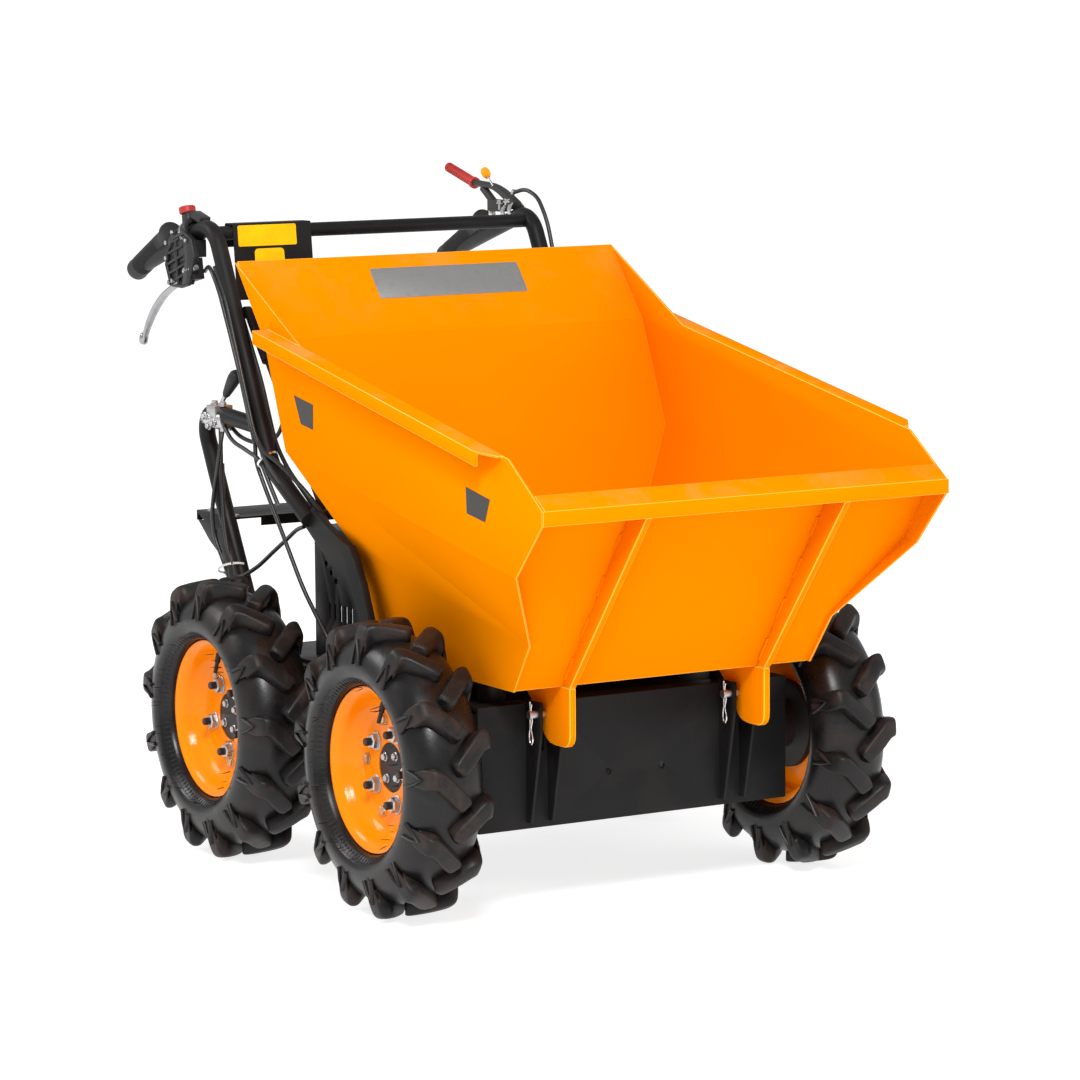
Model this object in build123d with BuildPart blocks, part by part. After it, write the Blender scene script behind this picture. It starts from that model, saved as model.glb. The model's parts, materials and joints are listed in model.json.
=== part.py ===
"""Walk-behind mini dumper with a forward-tipping tray on four powered wheels.

Millimetres. X points forward, Y to the machine's left, Z up. The origin is on the
ground, under the middle of the machine's bounding box.
"""
import os
from math import cos, dist, hypot, radians, sqrt, tan

from build123d import *

os.makedirs("parts", exist_ok=True)

# ---- wheels and axles ----
tyre_radius = 205
tyre_width = 100
lug_count = 13
lug_height = 18
lug_width = 26
lug_slant = 35
wall_overhang = 7
lug_heel = 19
lug_step = 11
lug_toe_cut = 16
lug_toe_reach = 13
lug_toe_start = 4
lug_shoulder_cut = 12
lug_shoulder_drop = 6
lug_wall_reach = 40
lug_wall_sink = 5
lug_root_reach = 30
lug_root_depth = 25
lug_tread_sink = 8
wall_bulge_low = 0.2
wall_bulge_high = 0.5
tread_shoulder = 31
rim_flange_radius = 114
rim_seat_radius = 100
rim_half_width = 35
rim_wall = 3
rim_lip_rise = 6
rim_lip_width = 9
rim_lip_slope = 2
disc_face = 1
disc_flat_radius = 86
disc_dish_depth = 12
disc_bend = 2
disc_weld = 1
bead_gap = 0.3
bead_inset = 27
hub_radius = 34
hub_flange_radius = 64
hub_flange_thickness = 9
hub_length = 66
hub_taper = 6
hub_disc_gap = 0.5
hub_face_inset = 1
shaft_radius = 15
shaft_gap = 0.3
hub_side_gap = 1.2
axle_tube_radius = 27
gearbox_radius = 70
gearbox_width = 130
gearbox_shoulder = 12
gearbox_deck_gap = 10
saddle_length = 60
saddle_beam_inset = 4
drive_shaft_radius = 14
wheelbase = 490
front_axle_x = 254
track_half = 328.5

# ---- chassis: heights follow the axles, widths follow the tyres ----
plate = 5
deck_top_z = tyre_radius + gearbox_radius + gearbox_deck_gap + plate
deck_rear_x = -322
deck_beam_inset = 15
beam_height = 50
beam_width = 40
beam_wall = 4
front_plate_x = 357
front_plate_bottom_z = deck_top_z - 170
front_plate_top_z = deck_top_z + 4
front_plate_fold = 28
mount_hole_spacing = 86.8
mount_hole_radius = 5
mount_hole_z = deck_top_z - 103
buffer_radius = 20
buffer_gap = 0.3
buffer_xs = (90, 290)
buffer_y = 190


def above_deck(x, height):
    """Side-view point (x, z) at a height above the deck."""
    return (x, deck_top_z + height)


# ---- handle frame ----
tube_radius = 12.5
handle_tyre_inset = 6.5
tyre_inner_y = track_half - tyre_width / 2
handle_y = tyre_inner_y - handle_tyre_inset
handle_end = above_deck(-641, 547.4)
handle_crest = above_deck(-377, 629)
handle_knee = above_deck(-200, 281)
handle_foot = above_deck(-85, 217)
crest_bend_radius = 45
knee_bend_radius = 80
cross_tube_radius = 10.5
cross_tube_x = -381
cross_tube_z = deck_top_z + 613
arm_thickness = 11
arm_outer_y = handle_y
arm_inner_y = arm_outer_y - arm_thickness
arm_upper_edge = (
    above_deck(-112, 237),
    above_deck(-68, 228),
    above_deck(-22, 208),
    above_deck(2, 199),
    above_deck(32, 191),
    above_deck(47, 174),
    above_deck(68, 140),
    above_deck(88, 96),
    above_deck(97, 50),
    above_deck(102, -50),
)
arm_lower_edge = (
    above_deck(44, -50),
    above_deck(44, 90),
    above_deck(40, 112),
    above_deck(23, 128),
    above_deck(-24, 159),
    above_deck(-76, 191),
    above_deck(-112, 213),
)
arm_bolts = (above_deck(58, -28), above_deck(86, -28))
arm_boss_radius = 11
arm_boss_length = 10
beam_outer_y = arm_inner_y - arm_boss_length
front_plate_half_width = beam_outer_y
deck_half_width = beam_outer_y - deck_beam_inset
strut_foot_y = handle_y - 18
strut_foot = above_deck(-281, 1)
strut_hip = above_deck(-386, 215)
strut_bend = above_deck(-431, 350)
strut_bend_radius = 34
grip_radius = 17
grip_length = 128
grip_gap = 0.3
grip_cap = 5
grip_collar_radius = 23
grip_collar_width = 6
console_tube_gap = 14.5
console_width = 130
console_height = 110
console_lean = 12
console_lip = 22
console_gap = 0.5

# ---- tray ----
sheet = 3
tray_arm_gap = 17
tray_floor_z = deck_top_z + 36
floor_rear_x = 50
floor_front_x = 429
tray_half_width = 320
low_crease_half_width = arm_inner_y - tray_arm_gap
low_wall_reach = 400
low_wall_taper = 17
high_wall_reach = 600
low_crease_z = deck_top_z + 186
high_crease_z = deck_top_z + 310
crease_slope = -0.167
rear_bend = above_deck(-126, 474)
rear_top = above_deck(-214, 581)
side_toe_x = 436
side_front_low = above_deck(485, 106)
side_front_high = above_deck(579, 212)
side_front_shoulder = above_deck(563, 368)
side_rear_shoulder = above_deck(-13, 473)
lip_back = above_deck(624, 326)
lip_front = above_deck(651, 308)
lip_drop = 20
rail_width = 26
rail_drop = 20
rail_rear_x = -112
rail_front_x = 518
rail_front_inner_x = 558

# ---- tray hinge ----
rib_y = 157
rib_thickness = 10
rib_toe_share = 0.72
hook_front_x = 451
hook_bottom_z = deck_top_z - 47
hook_rear_x = 363
hook_nose_radius = 20
hook_nose_length = 40
hook_notch = (above_deck(383, -23), above_deck(374, -14))
pivot_x = 385
pivot_z = deck_top_z - 7
pin_radius = 6
pin_gap = 0.4
pin_reach = 12
bracket_width = 38
bracket_depth = 40
bracket_foot_depth = 12
bracket_wall = 4
bracket_bottom_z = deck_top_z - 161
bracket_waist_z = pivot_z - 24
bracket_top_z = deck_top_z + 10
slot_width = 20
slot_bottom_z = deck_top_z - 64

# ---- rear plate ----
rear_plate_z = deck_top_z + 190
rear_plate_rear_x = -480
rear_plate_front_x = -362
rear_plate_side_inset = 14
rear_plate_flange = 15
rear_flange_inset = 50
gusset_drop = 34
gusset_foot_x = -408

# ---- braces from the handle tubes to the arms ----
stay_y = handle_y - 22
stay_top = above_deck(-306, 500)
stay_sleeve_end = above_deck(-251, 432)
stay_foot = above_deck(-80, 222)
stay_sleeve_radius = 9
stay_rod_radius = 5

# ---- controls ----
clamp_wall = 7
clamp_length = 22
perch_clamp_x = -421
perch_rear_x = -471
perch_height = 52
perch_drop = 32
perch_width = 26
perch_lean = 3
lever_thickness = 8
lever_width = 13
lever_bend_radius = 40
lever_route = (
    above_deck(-436, 536),
    above_deck(-500, 522),
    above_deck(-562, 482),
    above_deck(-590, 438),
)
switch_x = -456
switch_size = 34
switch_wall = 5
switch_ring_length = 24
switch_height = 18
switch_knob_radius = 11
switch_knob_height = 10
clutch_clamp_x = -441
clutch_joint = above_deck(-466, 645)
clutch_grip_start = above_deck(-544, 661)
clutch_tip = above_deck(-622, 686)
clutch_rod_radius = 5
clutch_grip_radius = 9
clutch_plate_thickness = 6
throttle_foot = above_deck(-454, 634)
throttle_tip = above_deck(-496, 676)
throttle_plate = 4
throttle_width = 8
throttle_foot_radius = 10
throttle_knob_radius = 7
gear_clamp_x = (-396, -340)
gear_clamp_z = (deck_top_z + 330, deck_top_z + 372)
gear_clamp_width = 36
gear_clamp_corner = 8
gear_rod_foot = above_deck(-352, 365)
gear_knob_start = above_deck(-334, 384)
gear_lever_top = above_deck(-312, 407)
gear_rod_radius = 4
gear_knob_radius = 9

# ---- control cables ----
cable_radius = 3.2
cable_arc_share = 0.45

# ---- engine ----
engine_x = -190
crankcase_length = 180
crankcase_width = 200
crankcase_height = 100
crankcase_corner = 14
engine_foot_height = 12
engine_foot_width = 40
cylinder_length = 120
cylinder_width = 92
cylinder_top_z = deck_top_z + 200
fin_count = 7
fin_thickness = 3.5
fin_reach = 16
fan_cover_radius = 90
fan_cover_depth = 62
fan_cover_round = 14
fan_z = deck_top_z + 102
starter_radius = 56
starter_depth = 15
starter_round = 5
tank_length = 170
tank_width = 210
tank_height = 62
tank_corner = 26
tank_round = 12
tank_seam_height = 30
tank_seam_width = 6
tank_seam_thickness = 3
filler_x = -225
filler_radius = 22
filler_height = 6
cap_radius = 29
cap_height = 14
silencer_length = 124
silencer_width = 58
silencer_height = 76
silencer_top_z = deck_top_z + 188
silencer_corner = 16
outlet_radius = 11
outlet_length = 34
filter_x = (-345, -288)
filter_y = (-6, 92)
filter_z = (deck_top_z + 112, deck_top_z + 202)
filter_corner = 10
intake_radius = 19
guard_x = (-203, -65)
guard_deck_inset = 33
guard_z = (deck_top_z, deck_top_z + 192)
guard_y = guard_deck_inset - deck_half_width
guard_depth = 40
guard_wall = 2.5
guard_fold = 10
guard_slot_count = 5
guard_slot_pitch = 17
guard_slot_width = 5
guard_slot_height = 24
guard_slot_start = above_deck(-158, 70)
guard_holes = (
    above_deck(-172, 155),
    above_deck(-167, 139),
    above_deck(-152, 127),
    above_deck(-138, 116),
)
guard_hole_radius = 4.5

rear_axle_x = front_axle_x - wheelbase
beam_top_z = deck_top_z - plate
beam_bottom_z = beam_top_z - beam_height
front_plate_back_x = front_plate_x - plate
deck_front_x = front_plate_back_x - front_plate_fold
disc_back = disc_face - rim_wall
hub_tail = disc_back - hub_length
bead_radius = rim_seat_radius + rim_wall + bead_gap
sides = (("right", -1), ("left", 1))


def share_of(start, end, share):
    """Point at a share of the way from start to end."""
    return tuple(a + (b - a) * share for a, b in zip(start, end))


def at_height(start, end, z):
    """Point (x, z) at height z on the line from start to end."""
    return share_of(start, end, (z - start[1]) / (end[1] - start[1]))


def facing(start, end, y):
    """Plane at the side-view point start, facing the side-view point end."""
    return Plane((start[0], y, start[1]), z_dir=(end[0] - start[0], 0, end[1] - start[1]))


def write(piece, name):
    """Label a finished piece and write it as one node."""
    piece.part.label = name
    export_step(piece.part, f"parts/{name}.step")


def write_both_sides(piece, name):
    """Write a piece drawn on the left, and the right one that mirrors it."""
    write(piece, f"{name}_left")
    with BuildPart() as opposite:
        mirror(piece.part, about=Plane.XZ)
    write(opposite, f"{name}_right")
    return opposite


# ---- tyre: drawn flat about the Z axis, its outboard side up ----
# The carcass is a ring of straight facets, two for each pair of lugs, so that every
# face is plane. The section's radii hold at the middle of a facet.
facet_count = 2 * lug_count
half_facet = radians(180 / facet_count)
tread_radius = (tyre_radius - lug_height) * cos(half_facet)
half_width = tyre_width / 2
wall_half = half_width + wall_overhang
wall_rise = tread_radius - rim_flange_radius
with BuildPart() as tyre_facet:
    with BuildSketch(Plane.XZ):
        with BuildLine():
            upper = (
                (bead_radius, rim_half_width - bead_inset),
                (rim_flange_radius + wall_bulge_low * wall_rise, wall_half),
                (rim_flange_radius + wall_bulge_high * wall_rise, wall_half),
                (tread_radius, wall_half - tread_shoulder),
            )
            lower = tuple((radius, -across) for radius, across in reversed(upper))
            Polyline(*upper, *lower, close=True)
        make_face()
    extrude(amount=tyre_radius, both=True)
    with BuildSketch(Plane.XY):
        with BuildLine():
            reach = 2 * tyre_radius
            rise = reach * tan(half_facet)
            Polyline((0, 0), (reach, rise), (reach, -rise), close=True)
        make_face()
    extrude(amount=tyre_width, both=True, mode=Mode.INTERSECT)

# A lug runs straight over the shoulder, then slants to the middle of the tread.
lug_half_length = (lug_slant + lug_width) / 2
lug_top = sqrt(tyre_radius**2 - lug_half_length**2)
with BuildPart() as lug:
    with BuildSketch(Plane.YZ):
        with BuildLine():
            lug_front = lug_width - lug_half_length
            Polyline(
                (-lug_half_length, half_width),
                (-lug_half_length, half_width - lug_heel),
                (lug_half_length - lug_toe_cut, -lug_toe_reach),
                (lug_half_length, lug_toe_start),
                (lug_front, half_width - lug_step),
                (lug_front, half_width),
                close=True,
            )
        make_face()
    extrude(amount=tyre_radius)
    with BuildSketch(Plane.XZ):
        with BuildLine():
            Polyline(
                (lug_top, -lug_width),
                (lug_top, half_width - lug_shoulder_cut),
                (tread_radius - lug_shoulder_drop, half_width),
                (tread_radius - lug_wall_reach, half_width - lug_wall_sink),
                (tread_radius - lug_root_reach, half_width - lug_root_depth),
                (tread_radius - lug_tread_sink, -lug_width),
                close=True,
            )
        make_face()
    extrude(amount=tyre_radius, both=True, mode=Mode.INTERSECT)

with BuildPart() as lug_opposite:
    mirror(lug.part, about=Plane.XY)

with BuildPart() as tyre_ring:
    with PolarLocations(0, facet_count, start_angle=180 / facet_count):
        add(tyre_facet.part)
    with PolarLocations(0, lug_count):
        add(lug.part)
    with PolarLocations(0, lug_count, start_angle=180 / lug_count):
        add(lug_opposite.part)

# ---- rim and hub: half sections, turned about the Z axis like the tyre ----
with BuildPart() as rim_ring:
    with BuildSketch(Plane.XZ):
        with BuildLine():
            Polyline(
                (rim_flange_radius, rim_half_width),
                (rim_seat_radius + rim_lip_rise, rim_half_width - rim_lip_slope),
                (rim_seat_radius, rim_half_width - rim_lip_width),
                (rim_seat_radius, rim_lip_width - rim_half_width),
                (rim_seat_radius + rim_lip_rise, rim_lip_slope - rim_half_width),
                (rim_flange_radius, -rim_half_width),
            )
            offset(amount=rim_wall, side=Side.LEFT)
        make_face()
        with BuildLine():
            Polyline(
                (hub_radius + hub_disc_gap, disc_back),
                (disc_flat_radius, disc_back),
                (rim_seat_radius + disc_weld, disc_back + disc_dish_depth),
                (rim_seat_radius + disc_weld, disc_face + disc_dish_depth),
                (disc_flat_radius - disc_bend, disc_face),
                (hub_radius + hub_disc_gap, disc_face),
                close=True,
            )
        make_face()
    revolve(axis=Axis.Z)

with BuildPart() as hub_turned:
    with BuildSketch(Plane.XZ):
        with BuildLine():
            bore_radius = shaft_radius + shaft_gap
            bore_end = disc_back - hub_flange_thickness
            Polyline(
                (0, disc_face - hub_face_inset),
                (hub_radius, disc_face - hub_face_inset),
                (hub_radius, disc_back),
                (hub_flange_radius, disc_back),
                (hub_flange_radius, disc_back - hub_flange_thickness),
                (hub_radius, disc_back - hub_flange_thickness),
                (hub_radius - hub_taper, hub_tail),
                (bore_radius, hub_tail),
                (bore_radius, bore_end),
                (0, bore_end),
                close=True,
            )
        make_face()
    revolve(axis=Axis.Z)

for place, axle_x in (("front", front_axle_x), ("rear", rear_axle_x)):
    for name, turned in (("tyre", tyre_ring), ("rim", rim_ring), ("hub", hub_turned)):
        with BuildPart() as wheel_piece:
            with Locations((axle_x, track_half, tyre_radius)):
                add(turned.part, rotation=(-90, 0, 0))
        write_both_sides(wheel_piece, f"{name}_{place}")

# ---- axle housings: a gearbox with a tube and stub shaft to each side ----
tube_end_y = track_half + hub_tail - hub_side_gap
shaft_end_y = track_half + disc_back - hub_flange_thickness - hub_side_gap
shoulder_y = gearbox_width / 2
for place, axle_x in (("front", front_axle_x), ("rear", rear_axle_x)):
    with BuildPart() as housing:
        with BuildSketch(Plane((axle_x, 0, tyre_radius), x_dir=(1, 0, 0), z_dir=(0, 0, 1))):
            with BuildLine():
                Polyline(
                    (0, -shaft_end_y),
                    (shaft_radius, -shaft_end_y),
                    (shaft_radius, -tube_end_y),
                    (axle_tube_radius, -tube_end_y),
                    (axle_tube_radius, -shoulder_y),
                    (gearbox_radius - gearbox_shoulder, -shoulder_y),
                    (gearbox_radius, gearbox_shoulder - shoulder_y),
                    (gearbox_radius, shoulder_y - gearbox_shoulder),
                    (gearbox_radius - gearbox_shoulder, shoulder_y),
                    (axle_tube_radius, shoulder_y),
                    (axle_tube_radius, tube_end_y),
                    (shaft_radius, tube_end_y),
                    (shaft_radius, shaft_end_y),
                    (0, shaft_end_y),
                    close=True,
                )
            make_face()
        revolve(axis=Axis((axle_x, 0, tyre_radius), (0, 1, 0)))
        for side_name, side in sides:
            saddle_y = side * (beam_outer_y - beam_width / 2)
            with BuildSketch(Plane.XY.offset(tyre_radius)):
                with Locations((axle_x, saddle_y)):
                    Rectangle(saddle_length, beam_width - 2 * saddle_beam_inset)
            extrude(amount=beam_bottom_z - tyre_radius)
    write(housing, f"axle_housing_{place}")

with BuildPart() as drive_shaft:
    with BuildSketch(Plane.YZ.offset(rear_axle_x + gearbox_radius)):
        with Locations((0, tyre_radius)):
            Circle(drive_shaft_radius)
    extrude(amount=wheelbase - 2 * gearbox_radius)
write(drive_shaft, "drive_shaft")

# ---- chassis ----
with BuildPart() as deck:
    with BuildSketch(Plane.XY.offset(beam_top_z)):
        with Locations(((deck_rear_x + deck_front_x) / 2, 0)):
            Rectangle(deck_front_x - deck_rear_x, 2 * deck_half_width)
    extrude(amount=plate)
write(deck, "chassis_deck")

# Channel beams, open towards the middle, with two bosses that each handle arm bolts to.
with BuildPart() as beam:
    inner_y = beam_outer_y - beam_width
    with BuildSketch(Plane.YZ.offset(deck_rear_x)):
        with BuildLine():
            Polyline(
                (inner_y, beam_top_z),
                (beam_outer_y, beam_top_z),
                (beam_outer_y, beam_bottom_z),
                (inner_y, beam_bottom_z),
            )
            offset(amount=beam_wall, side=Side.RIGHT)
        make_face()
    extrude(amount=front_plate_back_x - deck_rear_x)
    with BuildSketch(Plane.XZ.offset(-beam_outer_y)):
        with Locations(*arm_bolts):
            Circle(arm_boss_radius)
    extrude(amount=-arm_boss_length)
write_both_sides(beam, "chassis_beam")

with BuildPart() as front_plate:
    with BuildSketch(Plane.XZ):
        with BuildLine():
            Polyline(
                (front_plate_x, front_plate_bottom_z),
                (front_plate_x, front_plate_top_z),
                (front_plate_back_x - front_plate_fold, front_plate_top_z),
            )
            offset(amount=plate, side=Side.LEFT)
        make_face()
    extrude(amount=front_plate_half_width, both=True)
    for side_name, side in sides:
        for wall_side in (-1, 1):
            wall_y = side * rib_y + wall_side * (bracket_width - bracket_wall) / 2
            with BuildSketch(Plane.XZ.offset(-wall_y)):
                with BuildLine():
                    Polyline(
                        (front_plate_x, bracket_bottom_z),
                        (front_plate_x + bracket_foot_depth, bracket_bottom_z),
                        (front_plate_x + bracket_depth, bracket_waist_z),
                        (front_plate_x + bracket_depth, bracket_top_z),
                        (front_plate_x, bracket_top_z),
                        close=True,
                    )
                make_face()
                with Locations((pivot_x, pivot_z)):
                    Circle(pin_radius + pin_gap, mode=Mode.SUBTRACT)
            extrude(amount=bracket_wall / 2, both=True)
        # The hook swings back through this slot as the tray tips.
        with BuildSketch(Plane.YZ.offset(front_plate_x)):
            with Locations((side * rib_y, slot_bottom_z)):
                slot_height = front_plate_top_z - slot_bottom_z + 1
                Rectangle(slot_width, slot_height, align=(Align.CENTER, Align.MIN))
        extrude(amount=-plate - front_plate_fold - 1, mode=Mode.SUBTRACT)
    with BuildSketch(Plane.YZ.offset(front_plate_x)):
        with Locations((-mount_hole_spacing / 2, mount_hole_z), (mount_hole_spacing / 2, mount_hole_z)):
            Circle(mount_hole_radius)
    extrude(amount=-plate, mode=Mode.SUBTRACT)
write(front_plate, "front_plate")

with BuildPart() as pivot_pins:
    for side_name, side in sides:
        with BuildSketch(Plane.XZ.offset(-side * rib_y)):
            with Locations((pivot_x, pivot_z)):
                Circle(pin_radius)
        extrude(amount=bracket_width / 2 + pin_reach, both=True)
write(pivot_pins, "pivot_pins")

with BuildPart() as buffers:
    with BuildSketch(Plane.XY.offset(deck_top_z)):
        with Locations(*((x, y) for x in buffer_xs for y in (-buffer_y, buffer_y))):
            Circle(buffer_radius)
    extrude(amount=tray_floor_z - deck_top_z - buffer_gap)
write(buffers, "tray_buffers")

# ---- tray ----
# The side sheets are folded along creases that run down to the front, so each is one
# section swept along the crease direction and trimmed to its outline.
sweep_start_x = 2 * rear_top[0]
sweep_length = 3 * lip_front[0]
crease_direction = Vector(1, 0, crease_slope)


def at_sweep_start(z):
    """Height at the start of the sweep of a crease that has height z at x = 0."""
    return z + crease_slope * sweep_start_x


side_fold = (
    (low_wall_taper - low_crease_half_width, at_sweep_start(low_crease_z - low_wall_reach)),
    (-low_crease_half_width, at_sweep_start(low_crease_z)),
    (-tray_half_width, at_sweep_start(high_crease_z)),
    (-tray_half_width, at_sweep_start(high_crease_z + high_wall_reach)),
)

inner_fold = tuple((y + sheet, z) for y, z in side_fold)
with BuildPart() as tray_inside:
    with BuildSketch(Plane.YZ.offset(sweep_start_x)):
        with BuildLine():
            mirrored_fold = tuple((-y, z) for y, z in reversed(inner_fold))
            Polyline(*inner_fold, *mirrored_fold, close=True)
        make_face()
    extrude(amount=sweep_length, dir=crease_direction)

with BuildPart() as tray_side_right:
    with BuildSketch(Plane.YZ.offset(sweep_start_x)):
        with BuildLine():
            outer_and_inner = side_fold + tuple(reversed(inner_fold))
            Polyline(*outer_and_inner, close=True)
        make_face()
    extrude(amount=sweep_length, dir=crease_direction)
    with BuildSketch(Plane.XZ):
        with BuildLine():
            Polyline(
                (floor_rear_x, tray_floor_z),
                (side_toe_x, tray_floor_z),
                side_front_low,
                side_front_high,
                (lip_front[0] - sheet, lip_front[1] - lip_drop),
                (lip_front[0] - sheet, lip_front[1]),
                side_front_shoulder,
                side_rear_shoulder,
                rear_top,
                rear_bend,
                close=True,
            )
        make_face()
    extrude(amount=tray_half_width + 1, mode=Mode.INTERSECT)
    # The rail is the top edge folded outwards and down.
    edge_rise = side_front_shoulder[1] - side_rear_shoulder[1]
    edge_slope = edge_rise / (side_front_shoulder[0] - side_rear_shoulder[0])
    rail_rear_z = side_rear_shoulder[1] + edge_slope * (rail_rear_x - side_rear_shoulder[0])
    with BuildSketch(Plane.YZ.offset(rail_rear_x)):
        with BuildLine():
            Polyline(
                (-tray_half_width + sheet / 2, rail_rear_z),
                (-tray_half_width - rail_width, rail_rear_z),
                (-tray_half_width - rail_width, rail_rear_z - rail_drop),
            )
            offset(amount=sheet, side=Side.LEFT)
        make_face()
    extrude(amount=rail_front_inner_x - rail_rear_x, dir=Vector(1, 0, edge_slope).normalized())
    with BuildSketch(Plane.XY):
        with BuildLine():
            Polyline(
                (rail_front_x, -tray_half_width - rail_width - 1),
                (rail_front_inner_x, -tray_half_width),
                (lip_front[0], -tray_half_width),
                (lip_front[0], -tray_half_width - rail_width - 1),
                close=True,
            )
        make_face()
    extrude(amount=rear_top[1], mode=Mode.SUBTRACT)
write(tray_side_right, "tray_side_right")

with BuildPart() as tray_side_left:
    mirror(tray_side_right.part, about=Plane.XZ)
write(tray_side_left, "tray_side_left")

with BuildPart() as tray_floor:
    with BuildSketch(Plane.XZ):
        with BuildLine():
            Polyline((floor_rear_x, tray_floor_z), (floor_front_x, tray_floor_z))
            offset(amount=sheet, side=Side.LEFT)
        make_face()
    extrude(amount=tray_half_width, both=True)
    add(tray_inside.part, mode=Mode.INTERSECT)
write(tray_floor, "tray_floor")

front_foot = (floor_front_x, tray_floor_z + sheet)
front_rise = lip_back[1] - front_foot[1]
front_level_wall = sheet * hypot(lip_back[0] - front_foot[0], front_rise) / front_rise
with BuildPart() as tray_front:
    with BuildSketch(Plane.XZ):
        with BuildLine():
            Polyline(front_foot, lip_back, lip_front)
            offset(amount=sheet, side=Side.RIGHT)
        make_face()
    extrude(amount=tray_half_width, both=True)
    add(tray_inside.part, mode=Mode.INTERSECT)
    with BuildSketch(Plane.XZ):
        with BuildLine():
            Polyline(
                (lip_front[0] - sheet, lip_front[1] - lip_drop),
                (lip_front[0], lip_front[1] - lip_drop),
                lip_front,
                (lip_front[0] - sheet, lip_front[1]),
                close=True,
            )
        make_face()
    extrude(amount=tray_half_width, both=True)
write(tray_front, "tray_front")

with BuildPart() as tray_back:
    with BuildSketch(Plane.XZ):
        with BuildLine():
            Polyline((floor_rear_x, tray_floor_z + sheet), rear_bend, rear_top)
            offset(amount=sheet, side=Side.RIGHT)
        make_face()
    extrude(amount=tray_half_width, both=True)
    add(tray_inside.part, mode=Mode.INTERSECT)
write(tray_back, "tray_back")

# Each rib runs down the front sheet and on below the floor as a hook for the pivot pin.
for side_name, side in sides:
    with BuildPart() as rib:
        with BuildSketch(Plane.XZ.offset(-side * rib_y)):
            with BuildLine():
                lip_bottom_z = lip_front[1] - lip_drop
                front_top_x = at_height(front_foot, lip_back, lip_bottom_z)[0]
                Polyline(
                    (floor_rear_x + rib_toe_share * (floor_front_x - floor_rear_x), tray_floor_z),
                    (floor_front_x + front_level_wall, tray_floor_z),
                    (front_foot[0] + front_level_wall, front_foot[1]),
                    (front_top_x + front_level_wall, lip_bottom_z),
                    (lip_front[0] - sheet, lip_bottom_z),
                    (hook_front_x, tray_floor_z),
                    (hook_front_x, hook_bottom_z),
                    (hook_front_x - hook_nose_length, hook_bottom_z),
                    *hook_notch,
                    (hook_rear_x, pivot_z),
                    close=True,
                )
            make_face()
            with Locations((pivot_x, pivot_z)):
                Circle(pin_radius + pin_gap, mode=Mode.SUBTRACT)
        extrude(amount=rib_thickness / 2, both=True)
        nose = rib.edges().filter_by(Axis.Y).group_by(Axis.Z)[0]
        fillet(nose, radius=hook_nose_radius)
    write(rib, f"tray_rib_{side_name}")

# ---- handle frame: drawn on the left, mirrored to the right ----
with BuildPart() as handle:
    with BuildLine() as route:
        FilletPolyline(
            (handle_end[0], handle_y, handle_end[1]),
            (handle_crest[0], handle_y, handle_crest[1]),
            (handle_knee[0], handle_y, handle_knee[1]),
            (handle_foot[0], handle_y, handle_foot[1]),
            radius=[crest_bend_radius, knee_bend_radius],
        )
    with BuildSketch(Plane(route.line @ 0, z_dir=route.line % 0)):
        Circle(tube_radius)
    sweep()
handle_right = write_both_sides(handle, "handle_tube")

# The arm is a flat plate, welded along the foot of the tube and bolted to the beam.
with BuildPart() as arm:
    with BuildSketch(Plane.XZ.offset(-arm_inner_y)):
        with BuildLine():
            Polyline(*arm_upper_edge, *arm_lower_edge, close=True)
        make_face()
    extrude(amount=-arm_thickness)
    add(handle.part, mode=Mode.SUBTRACT)
write_both_sides(arm, "handle_arm")

with BuildPart() as strut:
    with BuildLine() as route:
        strut_end = at_height(handle_crest, handle_knee, strut_bend[1] - 12)
        FilletPolyline(
            (strut_foot[0], strut_foot_y, strut_foot[1]),
            (strut_hip[0], strut_foot_y + 6, strut_hip[1]),
            (strut_bend[0], handle_y, strut_bend[1]),
            (strut_end[0], handle_y, strut_end[1]),
            radius=[2 * strut_bend_radius, strut_bend_radius],
        )
    with BuildSketch(Plane(route.line @ 0, z_dir=route.line % 0)):
        Circle(tube_radius)
    sweep()
    add(handle.part, mode=Mode.SUBTRACT)
strut_right = write_both_sides(strut, "rear_strut")

with BuildPart() as cross_tube:
    with BuildSketch(Plane.XZ.offset(-handle_y)):
        with Locations((cross_tube_x, cross_tube_z)):
            Circle(cross_tube_radius)
    extrude(amount=2 * handle_y)
    add(handle.part, mode=Mode.SUBTRACT)
    add(handle_right.part, mode=Mode.SUBTRACT)
write(cross_tube, "cross_tube")

with BuildPart() as stay:
    for start, end, radius in (
        (stay_top, stay_sleeve_end, stay_sleeve_radius),
        (stay_sleeve_end, stay_foot, stay_rod_radius),
    ):
        with BuildSketch(facing(start, end, stay_y)):
            Circle(radius)
        extrude(amount=dist(start, end))
    for (x, z), seat_y in ((stay_top, handle_y - tube_radius), (stay_foot, arm_inner_y)):
        with BuildSketch(Plane.XZ.offset(-stay_y)):
            with Locations((x, z)):
                Circle(stay_sleeve_radius)
        extrude(amount=stay_y - seat_y)
    add(handle.part, mode=Mode.SUBTRACT)
write_both_sides(stay, "stay_rod")

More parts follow.
